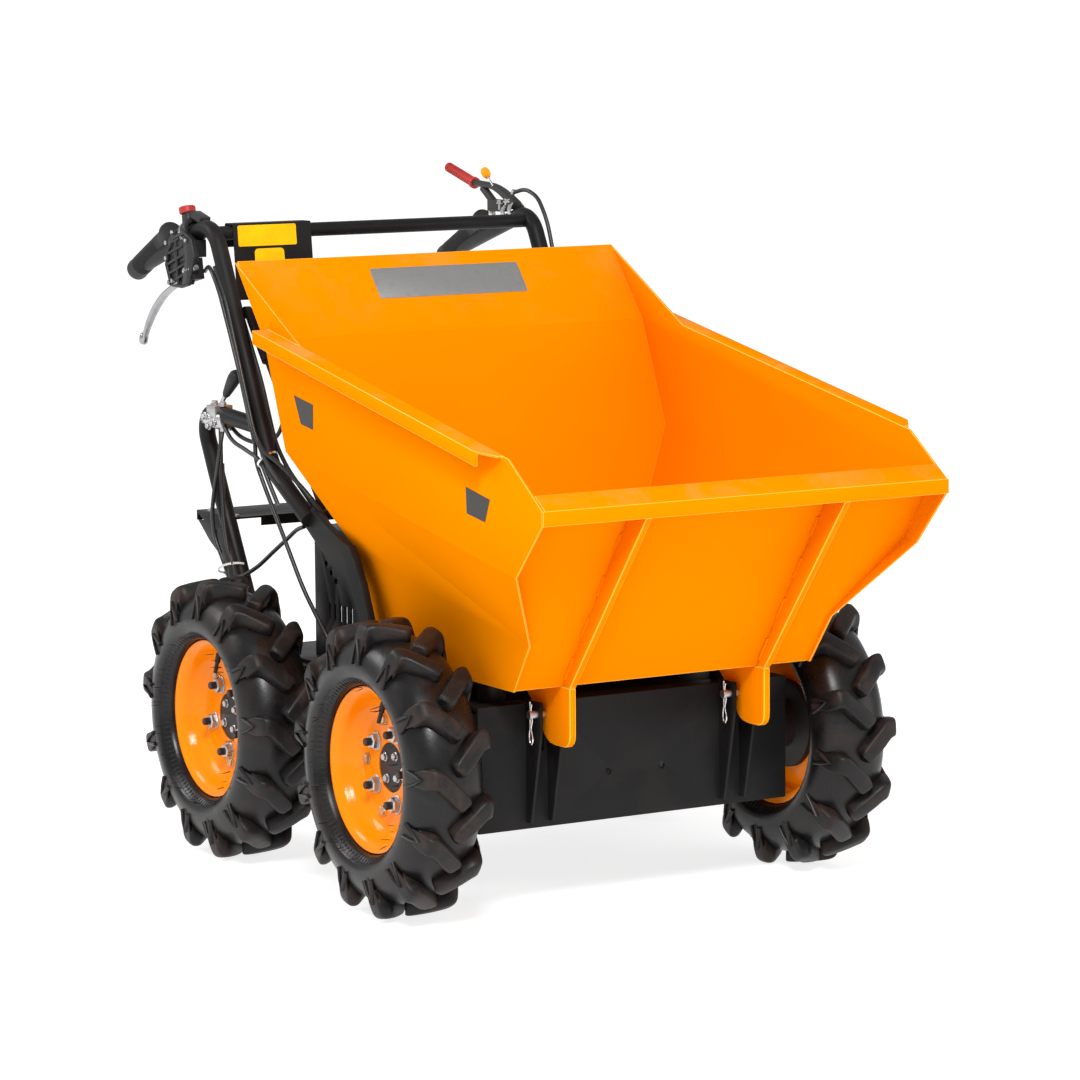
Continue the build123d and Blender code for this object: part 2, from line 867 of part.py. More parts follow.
# The grips close over the bar ends.
with BuildPart() as grips:
    bar_direction = Vector(handle_crest[0] - handle_end[0], 0, handle_crest[1] - handle_end[1]).normalized()
    for side_name, side in sides:
        bar_end = Vector(handle_end[0], side * handle_y, handle_end[1])
        collar_start = bar_end + bar_direction * (grip_length - grip_cap - grip_collar_width)
        with BuildSketch(Plane(bar_end - bar_direction * grip_cap, z_dir=bar_direction)):
            Circle(grip_radius)
        extrude(amount=grip_length)
        with BuildSketch(Plane(collar_start, z_dir=bar_direction)):
            Circle(grip_collar_radius)
        extrude(amount=grip_collar_width)
        with BuildSketch(Plane(bar_end, z_dir=bar_direction)):
            Circle(tube_radius + grip_gap)
        extrude(amount=grip_length, mode=Mode.SUBTRACT)
write(grips, "hand_grips")

# ---- console plate: a sheet bent over the cross tube ----
console_right_y = console_tube_gap + tube_radius - handle_y
console_left_y = console_right_y + console_width
with BuildPart() as console:
    tube_clear = cross_tube_radius + console_gap
    with BuildSketch(Plane.XZ.offset(-console_left_y)):
        with BuildLine():
            Polyline(
                (cross_tube_x - tube_clear, cross_tube_z - console_lip),
                (cross_tube_x - tube_clear, cross_tube_z + tube_clear),
                (cross_tube_x + tube_clear, cross_tube_z + tube_clear),
                (cross_tube_x + tube_clear + console_lean, cross_tube_z + tube_clear - console_height),
            )
            offset(amount=sheet, side=Side.LEFT)
        make_face()
    extrude(amount=console_width)
write(console, "console_plate")

# ---- rear plate between the struts, folded down at both long edges ----
rear_plate_half_width = handle_y - rear_plate_side_inset
with BuildPart() as rear_plate:
    with BuildSketch(Plane.XY.offset(rear_plate_z)):
        with Locations(((rear_plate_rear_x + rear_plate_front_x) / 2, 0)):
            Rectangle(rear_plate_front_x - rear_plate_rear_x, 2 * rear_plate_half_width)
    extrude(amount=-sheet)
    for flange_x, half_length in (
        (rear_plate_rear_x + sheet / 2, rear_plate_half_width),
        (rear_plate_front_x - sheet / 2, rear_plate_half_width - rear_flange_inset),
    ):
        with BuildSketch(Plane.XY.offset(rear_plate_z)):
            with Locations((flange_x, 0)):
                Rectangle(sheet, 2 * half_length)
        extrude(amount=-rear_plate_flange)
    for side_name, side in sides:
        with BuildSketch(Plane.XZ.offset(-side * (rear_plate_half_width - sheet / 2))):
            with BuildLine():
                Polyline(
                    (rear_plate_rear_x, rear_plate_z),
                    (rear_plate_front_x, rear_plate_z),
                    (rear_plate_front_x, rear_plate_z - gusset_drop),
                    (gusset_foot_x, rear_plate_z - gusset_drop),
                    (rear_plate_rear_x, rear_plate_z - sheet),
                    close=True,
                )
            make_face()
        extrude(amount=sheet / 2, both=True)
    add(strut.part, mode=Mode.SUBTRACT)
    add(strut_right.part, mode=Mode.SUBTRACT)
write(rear_plate, "rear_plate")


# ---- controls ----
def on_bar(x):
    """Point (x, z) on the centre line of the handlebar."""
    return (x, handle_end[1] + (x - handle_end[0]) * bar_direction.Z / bar_direction.X)


with BuildPart() as perch:
    clamp_centre = on_bar(perch_clamp_x)
    with BuildSketch(Plane((clamp_centre[0], -handle_y, clamp_centre[1]), z_dir=bar_direction)):
        Circle(tube_radius + clamp_wall)
    extrude(amount=clamp_length / 2, both=True)
    with BuildSketch(Plane.XZ.offset(handle_y)):
        with BuildLine():
            clamp_rear_x = perch_clamp_x - clamp_length / 2
            clamp_front_x = perch_clamp_x + clamp_length / 2
            body_top_z = clamp_centre[1] - perch_drop
            Polyline(
                (perch_rear_x, body_top_z - perch_lean),
                (clamp_rear_x, body_top_z),
                (clamp_rear_x, clamp_centre[1] - tube_radius),
                (clamp_front_x, clamp_centre[1] - tube_radius),
                (clamp_front_x, body_top_z - perch_height),
                (perch_rear_x, body_top_z - perch_height),
                close=True,
            )
        make_face()
    extrude(amount=perch_width / 2, both=True)
    add(handle_right.part, mode=Mode.SUBTRACT)
write(perch, "lever_perch")

with BuildPart() as brake_lever:
    lever_y = -handle_y - perch_width / 2 - lever_thickness / 2
    with BuildSketch(Plane.XZ.offset(-lever_y)):
        with BuildLine():
            FilletPolyline(*lever_route, radius=lever_bend_radius)
        trace(line_width=lever_width)
    extrude(amount=lever_thickness / 2, both=True)
write(brake_lever, "brake_lever")

with BuildPart() as stop_switch:
    bar_x, bar_z = on_bar(switch_x)
    box_base_z = bar_z + tube_radius
    with BuildSketch(Plane((bar_x, -handle_y, bar_z), z_dir=bar_direction)):
        Circle(tube_radius + switch_wall)
    extrude(amount=switch_ring_length / 2, both=True)
    with BuildSketch(Plane.XY.offset(box_base_z)):
        with Locations((bar_x, -handle_y)):
            Rectangle(switch_ring_length, switch_size)
    extrude(amount=switch_height)
    with BuildSketch(Plane.XY.offset(box_base_z + switch_height)):
        with Locations((bar_x, -handle_y)):
            Circle(switch_knob_radius)
    extrude(amount=switch_knob_height)
    add(handle_right.part, mode=Mode.SUBTRACT)
write(stop_switch, "stop_switch")

with BuildPart() as clutch_bracket:
    bar_x, bar_z = on_bar(clutch_clamp_x)
    with BuildSketch(Plane((bar_x, handle_y, bar_z), z_dir=bar_direction)):
        Circle(tube_radius + switch_wall)
    extrude(amount=clamp_length / 2, both=True)
    with BuildSketch(Plane.XZ.offset(-handle_y)):
        with BuildLine():
            Polyline((bar_x, bar_z + tube_radius), clutch_joint)
        trace(line_width=clamp_length)
    extrude(amount=clutch_plate_thickness / 2, both=True)
    add(handle.part, mode=Mode.SUBTRACT)
write(clutch_bracket, "clutch_bracket")

with BuildPart() as clutch_lever:
    for start, end, radius in (
        (clutch_joint, clutch_grip_start, clutch_rod_radius),
        (clutch_grip_start, clutch_tip, clutch_grip_radius),
    ):
        with BuildSketch(facing(start, end, handle_y)):
            Circle(radius)
        extrude(amount=dist(start, end))
    add(clutch_bracket.part, mode=Mode.SUBTRACT)
write(clutch_lever, "clutch_lever")

with BuildPart() as throttle:
    throttle_y = handle_y - clutch_plate_thickness / 2 - throttle_plate / 2
    with BuildSketch(Plane.XZ.offset(-throttle_y)):
        with BuildLine():
            Polyline(throttle_foot, throttle_tip)
        trace(line_width=throttle_width)
        with Locations(throttle_foot):
            Circle(throttle_foot_radius)
    extrude(amount=throttle_plate / 2, both=True)
    with BuildSketch(Plane.XZ.offset(-throttle_y - throttle_knob_radius)):
        with Locations(throttle_tip):
            Circle(throttle_knob_radius)
    extrude(amount=2 * throttle_knob_radius)
    add(clutch_bracket.part, mode=Mode.SUBTRACT)
    add(clutch_lever.part, mode=Mode.SUBTRACT)
write(throttle, "throttle_lever")

with BuildPart() as gear_bracket:
    with BuildSketch(Plane.XZ.offset(handle_y)):
        with Locations((sum(gear_clamp_x) / 2, sum(gear_clamp_z) / 2)):
            gear_clamp_length = gear_clamp_x[1] - gear_clamp_x[0]
            gear_clamp_height = gear_clamp_z[1] - gear_clamp_z[0]
            RectangleRounded(gear_clamp_length, gear_clamp_height, gear_clamp_corner)
    extrude(amount=gear_clamp_width / 2, both=True)
    add(strut_right.part, mode=Mode.SUBTRACT)
write(gear_bracket, "gear_bracket")

with BuildPart() as gear_lever:
    for start, end, radius in (
        (gear_rod_foot, gear_knob_start, gear_rod_radius),
        (gear_knob_start, gear_lever_top, gear_knob_radius),
    ):
        with BuildSketch(facing(start, end, -handle_y)):
            Circle(radius)
        extrude(amount=dist(start, end))
    add(gear_bracket.part, mode=Mode.SUBTRACT)
write(gear_lever, "gear_lever")

# ---- control cables, held by the frame and the clips on it ----
# Each point is x, the distance outwards from the handle tube's middle, and the height
# above the deck.
right_cables = (
    (
        (-408, 0, 556),
        (-384, 6, 565),
        (-354, 16, 560),
        (-330, 17, 534),
        (-301, 16, 479),
        (-266, 16, 411),
        (-230, 16, 340),
        (-200, 14, 305),
        (-176, 5, 293),
        (-149, -3, 275),
        (-121, -9, 258),
        (-95, -11, 243),
    ),
    (
        (-232, 11, 320),
        (-227, 13, 289),
        (-208, 8, 251),
        (-188, -1, 206),
        (-167, -9, 160),
        (-142, -17, 110),
        (-112, -23, 72),
        (-84, -27, 42),
        (-68, -31, 5),
    ),
    (
        (-328, 1, 106),
        (-294, 1, 112),
        (-256, -4, 130),
        (-214, -7, 156),
        (-174, -8, 178),
        (-137, -6, 197),
        (-112, -5, 204),
    ),
)
gear_cables = (
    (
        (-353, 1, 332),
        (-347, 10, 303),
        (-353, 12, 268),
        (-367, 12, 232),
        (-378, 11, 196),
        (-376, 8, 160),
        (-355, 5, 128),
        (-341, -1, 94),
        (-329, -9, 50),
        (-321, -14, 4),
    ),
    (
        (-347, 4, 332),
        (-323, 7, 316),
        (-294, 12, 309),
        (-265, 14, 305),
        (-237, 13, 298),
    ),
    (
        (-356, -9, 332),
        (-331, -13, 315),
        (-304, -20, 308),
        (-276, -30, 308),
        (-250, -35, 320),
        (-230, -35, 343),
        (-217, -32, 370),
        (-222, -30.6, 396),
        (-240, -30.6, 418),
    ),
)
left_cables = (
    (
        (-431, 4, 654),
        (-406, 9, 660),
        (-378, 14, 649),
        (-354, 16.5, 614),
        (-333, 16, 558),
        (-312, 16, 502),
        (-290, 16, 458),
        (-254, 16, 388),
        (-222, 16, 330),
        (-194, 14, 303),
        (-170, 5, 291),
        (-145, -3, 275),
        (-119, -9, 258),
        (-95, -11, 243),
    ),
)
for name, side, routes, seats in (
    ("control_cables_right", -1, right_cables, (perch,)),
    ("control_cables_gear", -1, gear_cables, (gear_bracket, strut_right)),
    ("control_cables_left", 1, left_cables, (clutch_bracket,)),
):
    with BuildPart() as cables:
        for route in routes:
            points = [Vector(x, side * (handle_y + out), deck_top_z + height) for x, out, height in route]
            runs = [(end - start).length for start, end in zip(points, points[1:])]
            radii = []
            for place in range(1, len(points) - 1):
                before = points[place] - points[place - 1]
                after = points[place + 1] - points[place]
                turn = radians(before.get_angle(after))
                radii.append(cable_arc_share * min(before.length, after.length) / tan(turn / 2))
            print(name, "runs", [round(run) for run in runs], "radii", [round(radius) for radius in radii])
            with BuildLine() as path:
                FilletPolyline(*points, radius=radii)
            with BuildSketch(Plane(path.line @ 0, z_dir=path.line % 0)):
                Circle(cable_radius)
            sweep()
        for seat in seats:
            add(seat.part, mode=Mode.SUBTRACT)
    write(cables, name)

# ---- engine, on the deck behind the tray ----
with BuildPart() as engine:
    with BuildSketch(Plane.XY.offset(deck_top_z)):
        foot_y = crankcase_width / 2 - engine_foot_width
        with Locations((engine_x, -foot_y), (engine_x, foot_y)):
            Rectangle(crankcase_length, engine_foot_width)
    extrude(amount=engine_foot_height)
    with BuildSketch(Plane.XZ.offset(-crankcase_width / 2)):
        with Locations((engine_x, deck_top_z + engine_foot_height + crankcase_height / 2)):
            RectangleRounded(crankcase_length, crankcase_height, crankcase_corner)
    extrude(amount=crankcase_width)
    cylinder_base_z = deck_top_z + engine_foot_height + crankcase_height
    with BuildSketch(Plane.XY.offset(cylinder_base_z)):
        with Locations((engine_x, 0)):
            Rectangle(cylinder_length, cylinder_width)
    extrude(amount=cylinder_top_z - cylinder_base_z)
    fin_pitch = (cylinder_top_z - cylinder_base_z) / fin_count
    for fin in range(fin_count):
        with BuildSketch(Plane.XY.offset(cylinder_base_z + (fin + 0.5) * fin_pitch)):
            with Locations((engine_x, 0)):
                RectangleRounded(cylinder_length + 2 * fin_reach, cylinder_width + fin_reach, fin_reach / 2)
        extrude(amount=fin_thickness / 2, both=True)
write(engine, "engine_block")

with BuildPart() as fan_cover:
    cover_face = Plane.XZ.offset(-crankcase_width / 2)
    with BuildSketch(cover_face):
        with Locations((engine_x, fan_z)):
            Circle(fan_cover_radius)
    extrude(amount=-fan_cover_depth)
    fillet(fan_cover.edges().group_by(Axis.Y)[-1], radius=fan_cover_round)
    with BuildSketch(cover_face.offset(-fan_cover_depth)):
        with Locations((engine_x, fan_z)):
            Circle(starter_radius)
    extrude(amount=-starter_depth)
    fillet(fan_cover.edges().group_by(Axis.Y)[-1], radius=starter_round)
write(fan_cover, "fan_cover")

with BuildPart() as tank:
    with BuildSketch(Plane.XY.offset(cylinder_top_z)):
        with Locations((engine_x, 0)):
            RectangleRounded(tank_length, tank_width, tank_corner)
    extrude(amount=tank_height)
    fillet(tank.edges().group_by(Axis.Z)[-1], radius=tank_round)
    with BuildSketch(Plane.XY.offset(cylinder_top_z + tank_seam_height)):
        with Locations((engine_x, 0)):
            seam_length = tank_length + 2 * tank_seam_width
            seam_breadth = tank_width + 2 * tank_seam_width
            RectangleRounded(seam_length, seam_breadth, tank_corner + tank_seam_width)
    extrude(amount=tank_seam_thickness)
    with BuildSketch(Plane.XY.offset(cylinder_top_z + tank_height)):
        with Locations((filler_x, 0)):
            Circle(filler_radius)
    extrude(amount=filler_height)
    with BuildSketch(Plane.XY.offset(cylinder_top_z + tank_height + filler_height)):
        with Locations((filler_x, 0)):
            Circle(cap_radius)
    extrude(amount=cap_height)
write(tank, "fuel_tank")

with BuildPart() as silencer:
    silencer_y = -(cylinder_width + fin_reach) / 2
    with BuildSketch(Plane.XZ.offset(-silencer_y)):
        with Locations((engine_x, silencer_top_z - silencer_height / 2)):
            RectangleRounded(silencer_length, silencer_height, silencer_corner)
    extrude(amount=silencer_width)
    with BuildSketch(Plane.YZ.offset(engine_x - silencer_length / 2)):
        with Locations((silencer_y - silencer_width / 2, silencer_top_z - silencer_height / 2)):
            Circle(outlet_radius)
    extrude(amount=-outlet_length)
write(silencer, "silencer")

with BuildPart() as air_filter:
    with BuildSketch(Plane.XY.offset(filter_z[0])):
        with Locations((sum(filter_x) / 2, sum(filter_y) / 2)):
            RectangleRounded(filter_x[1] - filter_x[0], filter_y[1] - filter_y[0], filter_corner)
    extrude(amount=filter_z[1] - filter_z[0])
    with BuildSketch(Plane.YZ.offset(filter_x[1])):
        with Locations((sum(filter_y) / 2 - intake_radius, sum(filter_z) / 2)):
            Circle(intake_radius)
    extrude(amount=engine_x - cylinder_length / 2 - filter_x[1])
    add(engine.part, mode=Mode.SUBTRACT)
write(air_filter, "air_filter")

with BuildPart() as guard:
    guard_centre = (sum(guard_x) / 2, sum(guard_z) / 2)
    guard_length = guard_x[1] - guard_x[0]
    guard_height = guard_z[1] - guard_z[0]
    with BuildSketch(Plane.XZ.offset(-guard_y)):
        with Locations(guard_centre):
            Rectangle(guard_length, guard_height)
    extrude(amount=-guard_depth)
    front_corner = guard.edges().filter_by(Axis.Z).group_by(Axis.X)[-1].sort_by(Axis.Y)[0]
    chamfer(front_corner, length=guard_fold)
    with BuildSketch(Plane.XZ.offset(-guard_y - guard_wall)):
        with Locations((guard_centre[0], guard_centre[1] - guard_wall)):
            Rectangle(guard_length - 2 * guard_wall, guard_height)
    extrude(amount=-guard_depth, mode=Mode.SUBTRACT)
    with BuildSketch(Plane.XZ.offset(-guard_y)):
        for slot in range(guard_slot_count):
            with Locations((guard_slot_start[0] + slot * guard_slot_pitch, guard_slot_start[1])):
                Rectangle(guard_slot_width, guard_slot_height)
        with Locations(*guard_holes):
            Circle(guard_hole_radius)
    extrude(amount=-guard_wall, mode=Mode.SUBTRACT)
write(guard, "belt_guard")
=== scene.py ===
import json
import math

import bmesh
import bpy
from mathutils import Matrix, Vector

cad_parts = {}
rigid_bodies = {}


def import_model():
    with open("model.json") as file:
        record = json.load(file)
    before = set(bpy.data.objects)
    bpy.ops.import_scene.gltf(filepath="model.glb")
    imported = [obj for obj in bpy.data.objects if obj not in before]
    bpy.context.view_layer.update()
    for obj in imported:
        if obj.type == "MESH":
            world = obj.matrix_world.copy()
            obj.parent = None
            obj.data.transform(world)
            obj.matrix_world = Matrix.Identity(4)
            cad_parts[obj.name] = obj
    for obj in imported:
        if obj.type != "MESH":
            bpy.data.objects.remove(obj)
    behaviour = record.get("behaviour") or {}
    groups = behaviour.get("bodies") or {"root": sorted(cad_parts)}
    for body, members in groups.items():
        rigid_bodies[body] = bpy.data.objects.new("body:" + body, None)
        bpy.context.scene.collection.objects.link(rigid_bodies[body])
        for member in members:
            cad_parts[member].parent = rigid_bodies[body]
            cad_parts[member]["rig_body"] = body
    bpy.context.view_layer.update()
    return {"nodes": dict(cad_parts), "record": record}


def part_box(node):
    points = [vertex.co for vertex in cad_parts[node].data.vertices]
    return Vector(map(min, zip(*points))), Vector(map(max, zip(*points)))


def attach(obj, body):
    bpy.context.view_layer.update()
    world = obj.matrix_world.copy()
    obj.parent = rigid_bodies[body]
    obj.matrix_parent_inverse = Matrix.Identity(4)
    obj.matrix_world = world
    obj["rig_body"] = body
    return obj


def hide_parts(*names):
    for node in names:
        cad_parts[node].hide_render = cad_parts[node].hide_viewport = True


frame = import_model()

nodes = frame["nodes"]
scene = bpy.context.scene
mm = 0.001  # sizes below are in millimetres unless a note says metres
print("frame loaded:", len(nodes), "nodes")


# camera, places in metres
cameraSetup = {
    "place": (5.35786, -3.11784, 1.28510),
    "azimuth": 59.318,
    "elevation": 7.523,
    "roll": -0.467,
    "lens": 143.76,
    "sensor": 36,
    "clipEnd": 2000,
}


def makeCamera(setup):
    azimuth, elevation, roll = (math.radians(setup[key]) for key in ("azimuth", "elevation", "roll"))
    turn = Matrix.Rotation(azimuth, 4, "Z") @ Matrix.Rotation(math.pi / 2 - elevation, 4, "X")
    turn = turn @ Matrix.Rotation(roll, 4, "Z")
    data = bpy.data.cameras.new("camera")
    data.lens = setup["lens"]
    data.sensor_width = setup["sensor"]
    data.clip_end = setup["clipEnd"]
    camera = bpy.data.objects.new("camera", data)
    camera.matrix_world = Matrix.Translation(Vector(setup["place"])) @ turn
    scene.collection.objects.link(camera)
    scene.camera = camera


makeCamera(cameraSetup)

# soft studio light, places in metres
studio = {
    "keyPlace": (4.2, -2.6, 4.4), "keySize": 1.5, "keyPower": 330,
    "fillPlace": (3.6, 3.8, 1.6), "fillSize": 2, "fillPower": 30,
    "rimPlace": (-2.6, -3, 3.2), "rimSize": 1.5, "rimPower": 70,
    "aim": (0.1, 0, 0.45),
    "skyColour": (1, 1, 1), "skyStrength": 0.6,
    "floorSize": 1200, "floorDrop": 0.0005, "floorGlow": 0.78,
}


def makeStudio(setup):
    for name in ("key", "fill", "rim"):
        data = bpy.data.lights.new(name + "Light", "AREA")
        data.size = setup[name + "Size"]
        data.energy = setup[name + "Power"]
        lamp = bpy.data.objects.new(name + "Light", data)
        place = Vector(setup[name + "Place"])
        lamp.location = place
        lamp.rotation_euler = (Vector(setup["aim"]) - place).to_track_quat("-Z", "Y").to_euler()
        scene.collection.objects.link(lamp)
    world = bpy.data.worlds.new("studioAir")
    world.use_nodes = True
    world.node_tree.nodes["Background"].inputs["Color"].default_value = (*setup["skyColour"], 1)
    world.node_tree.nodes["Background"].inputs["Strength"].default_value = setup["skyStrength"]
    scene.world = world
    half = setup["floorSize"] / 2
    mesh = bpy.data.meshes.new("floor")
    corners = [(-half, -half, 0), (half, -half, 0), (half, half, 0), (-half, half, 0)]
    mesh.from_pydata([(x, y, z - setup["floorDrop"]) for x, y, z in corners], [], [(0, 1, 2, 3)])
    made = bpy.data.objects.new("floor", mesh)
    scene.collection.objects.link(made)
    return made


floor = makeStudio(studio)
scene.view_settings.view_transform = "Standard"
print("camera and studio made")


# boards: a wire stands in sums, a board makes the nodes of one tree
class Wire:
    def __init__(self, board, socket):
        self.board = board
        self.socket = socket

    def math(self, operation, *values):
        return self.board.node("ShaderNodeMath", {"operation": operation}, values)

    def __add__(self, other):
        return self.math("ADD", self, other)

    __radd__ = __add__

    def __sub__(self, other):
        return self.math("SUBTRACT", self, other)

    def __rsub__(self, other):
        return self.math("SUBTRACT", other, self)

    def __mul__(self, other):
        return self.math("MULTIPLY", self, other)

    __rmul__ = __mul__

    def __truediv__(self, other):
        return self.math("DIVIDE", self, other)

    def __rtruediv__(self, other):
        return self.math("DIVIDE", other, self)


class Board:
    def __init__(self, tree):
        self.tree = tree

    def node(self, kind, settings=None, inputs=(), output=0):
        made = self.tree.nodes.new(kind)
        for key, value in (settings or {}).items():
            setattr(made, key, value)
        pairs = inputs.items() if isinstance(inputs, dict) else enumerate(inputs)
        for key, value in pairs:
            if isinstance(value, Wire):
                self.tree.links.new(value.socket, made.inputs[key])
            else:
                made.inputs[key].default_value = value
        return Wire(self, made.outputs[output])


class Finish(Board):
    # one material, drawn in Object coordinates
    def __init__(self, name):
        self.material = bpy.data.materials.new(name)
        self.material.use_nodes = True
        super().__init__(self.material.node_tree)
        self.shader = self.tree.nodes["Principled BSDF"]

    def coords(self):
        return self.node("ShaderNodeTexCoord", output="Object")

    def noise(self, scale, detail=3.0, rough=0.5, warp=0.0):
        values = {"Scale": scale, "Detail": detail, "Roughness": rough, "Distortion": warp}
        return self.node("ShaderNodeTexNoise", None, {"Vector": self.coords(), **values})

    def cells(self, scale):
        return self.node("ShaderNodeTexVoronoi", None, {"Vector": self.coords(), "Scale": scale})

    def facing(self, axis):
        normal = self.node("ShaderNodeNewGeometry", output="Normal")
        return self.node("ShaderNodeSeparateXYZ", None, [normal], axis)

    def span(self, value, low, high, start=0.0, end=1.0):
        return self.node("ShaderNodeMapRange", {"clamp": True}, [value, low, high, start, end])

    def blend(self, factor, first, second):
        first = first if isinstance(first, Wire) else (*first, 1)
        second = second if isinstance(second, Wire) else (*second, 1)
        return self.node("ShaderNodeMix", {"data_type": "RGBA"}, {0: factor, 6: first, 7: second}, 2)

    def bump(self, height, strength, distance):
        return self.node("ShaderNodeBump", None, {"Height": height, "Strength": strength, "Distance": distance})

    def done(self, **values):
        names = {
            "colour": "Base Color", "rough": "Roughness", "metal": "Metallic", "normal": "Normal",
            "specular": "Specular IOR Level", "glow": "Emission Strength", "glowColour": "Emission Color",
        }
        for key, value in values.items():
            socket = self.shader.inputs[names[key]]
            if isinstance(value, Wire):
                self.tree.links.new(value.socket, socket)
            else:
                socket.default_value = (*value, 1) if isinstance(value, tuple) else value
        return self.material


def makePaint(name, colour, shade, dust=0.25, gloss=0.12, rough=(0.34, 0.46)):
    # sprayed enamel: faint mottling, dust on level faces, orange peel
    board = Finish(name)
    wide = board.noise(3.1, 4.0, 0.55)
    fine = board.noise(140.0, 3.0, 0.6)
    grime = board.noise(11.0, 6.0, 0.65, 0.4)
    base = board.blend(board.span(wide, 0.3, 0.75), colour, shade)
    settled = board.span(board.facing("Z"), 0.6, 0.98) * board.span(grime, 0.48, 0.72) * dust
    surface = board.blend(settled, base, (0.50, 0.36, 0.20))
    grain = board.span(fine, 0.3, 0.7, *rough) + settled * 0.4
    peel = board.bump(board.noise(420.0, 2.0), 0.3, 0.0004)
    return board.done(colour=surface, rough=grain, specular=gloss, normal=peel)


def makeCoat(name, colour, rough=0.45, dust=0.35, gloss=0.3):
    # black powder coat: fine stipple and a little brownish dust
    board = Finish(name)
    stipple = board.noise(900.0, 2.0, 0.6)
    patch = board.noise(9.0, 5.0, 0.6, 0.5)
    surface = board.blend(board.span(patch, 0.5, 0.75) * dust, colour, (0.045, 0.036, 0.030))
    grain = board.span(patch, 0.3, 0.7, rough - 0.07, rough + 0.10)
    return board.done(colour=surface, rough=grain, specular=gloss, normal=board.bump(stipple, 0.25, 0.0004))


def makeRubber(name, colour, rough=0.5, dust=0.5, gloss=0.35, scale=14.0, dusty=(0.050, 0.028, 0.020)):
    board = Finish(name)
    grain = board.noise(260.0, 4.0, 0.6)
    patch = board.noise(scale, 6.0, 0.68, 0.6)
    surface = board.blend(board.span(patch, 0.46, 0.74) * dust, colour, dusty)
    worn = board.span(patch, 0.3, 0.7, rough - 0.1, rough + 0.16)
    return board.done(colour=surface, rough=worn, specular=gloss, normal=board.bump(grain, 0.25, 0.0005))


def makeMetal(name, colour, rough=0.3, rust=0.15):
    board = Finish(name)
    wear = board.noise(60.0, 5.0, 0.6)
    tint = board.blend(board.span(wear, 0.5, 0.75) * rust, colour, (0.17, 0.10, 0.06))
    grain = board.span(wear, 0.3, 0.7, rough - 0.06, rough + 0.14)
    return board.done(colour=tint, metal=1.0, rough=grain, normal=board.bump(board.cells(230.0), 0.08, 0.0004))


def makePlastic(name, colour, rough=0.45, grain=600.0, gloss=0.35):
    board = Finish(name)
    texture = board.noise(grain, 3.0, 0.6)
    patch = board.noise(20.0, 4.0, 0.6)
    shade = tuple(min(1.0, channel * 1.35 + 0.004) for channel in colour)
    surface = board.blend(board.span(patch, 0.4, 0.8), colour, shade)
    worn = board.span(patch, 0.3, 0.7, rough - 0.05, rough + 0.08)
    return board.done(colour=surface, rough=worn, specular=gloss, normal=board.bump(texture, 0.2, 0.0004))


def makeFloorFinish():
    board = Finish("floorFinish")
    surface = board.blend(board.noise(2.0, 3.0), (0.50, 0.50, 0.50), (0.52, 0.52, 0.52))
    return board.done(colour=surface, rough=0.9, specular=0.0, glowColour=(1.0, 1.0, 1.0), glow=studio["floorGlow"])


finishes = {
    "tray_paint": makePaint("trayPaint", (0.88, 0.240, 0), (0.86, 0.218, 0), gloss=0),
    "rim_paint": makePaint(
        "rimPaint", (0.90, 0.240, 0), (0.88, 0.215, 0), dust=0.1, gloss=0.18, rough=(0.10, 0.18),
    ),
    "black_powder_coat": makeCoat("powderCoat", (0.0068, 0.0068, 0.0072), dust=0.2, gloss=0.16),
    "tyre_rubber": makeRubber("tyreRubber", (0.0042, 0.0042, 0.0046), 0.30, 0.3, 0.32),
    "dark_casting": makeCoat("darkCasting", (0.020, 0.019, 0.018), 0.5),
    "zinc_steel": makeMetal("zincSteel", (0.50, 0.50, 0.51), 0.30),
    "bare_alloy": makeMetal("bareAlloy", (0.36, 0.36, 0.37), 0.3, 0.1),
    "soft_rubber": makeRubber("softRubber", (0.012, 0.012, 0.012), 0.5, 0.1),
    "black_plastic": makePlastic("blackPlastic", (0.012, 0.012, 0.013)),
    "red_plastic": makePlastic("redPlastic", (0.36, 0.022, 0.016)),
    "cable_jacket": makePlastic("cableJacket", (0.010, 0.010, 0.010), 0.35, gloss=0.5),
}
extras = {
    # painted highlight: a lighter, glossier orange laid on the bevelled sheet edges to stand in for bright edge
    # reflections
    "edgeHighlightPaint": makePaint("edgeHighlightPaint", (1, 0.45, 0.035), (1, 0.42, 0.03), dust=0, gloss=0.3, rough=(0.2, 0.3)),
    "lugDust": makeRubber("lugDust", (0.0075, 0.0072, 0.0072), 0.45, 0.75, 0.26, 22, (0.050, 0.027, 0.020)),
    "wallRubber": makeRubber("wallRubber", (0.0075, 0.0075, 0.008), 0.38, 0.5, 0.34, 30),
    "darkStud": makeCoat("darkStud", (0.016, 0.013, 0.012), 0.4),
    "rustyBolt": makeMetal("rustyBolt", (0.62, 0.46, 0.28), 0.35, 0.8),
    "orangePlastic": makePlastic("orangePlastic", (0.95, 0.24, 0), 0.35, gloss=0.15),
    "yellowLabel": makePlastic("yellowLabel", (0.95, 0.44, 0), 0.35, gloss=0.1),
    "greyPlate": makeMetal("greyPlate", (0.42, 0.42, 0.41), 0.42, 0.25),
    "blackStripe": makePlastic("blackStripe", (0.022, 0.021, 0.018), 0.42),
    "springSteel": makeMetal("springSteel", (0.80, 0.80, 0.80), 0.22, 0.05),
    "clearSleeve": makePlastic("clearSleeve", (0.62, 0.60, 0.57), 0.35),
}
floor.data.materials.append(makeFloorFinish())
slotOf = {part["node"]: part["material_slot"] for part in frame["record"]["subparts"]}
for nodeName, node in nodes.items():
    node.data.materials.clear()
    node.data.materials.append(finishes[slotOf[nodeName]])
print("finishes made:", len(finishes) + len(extras))


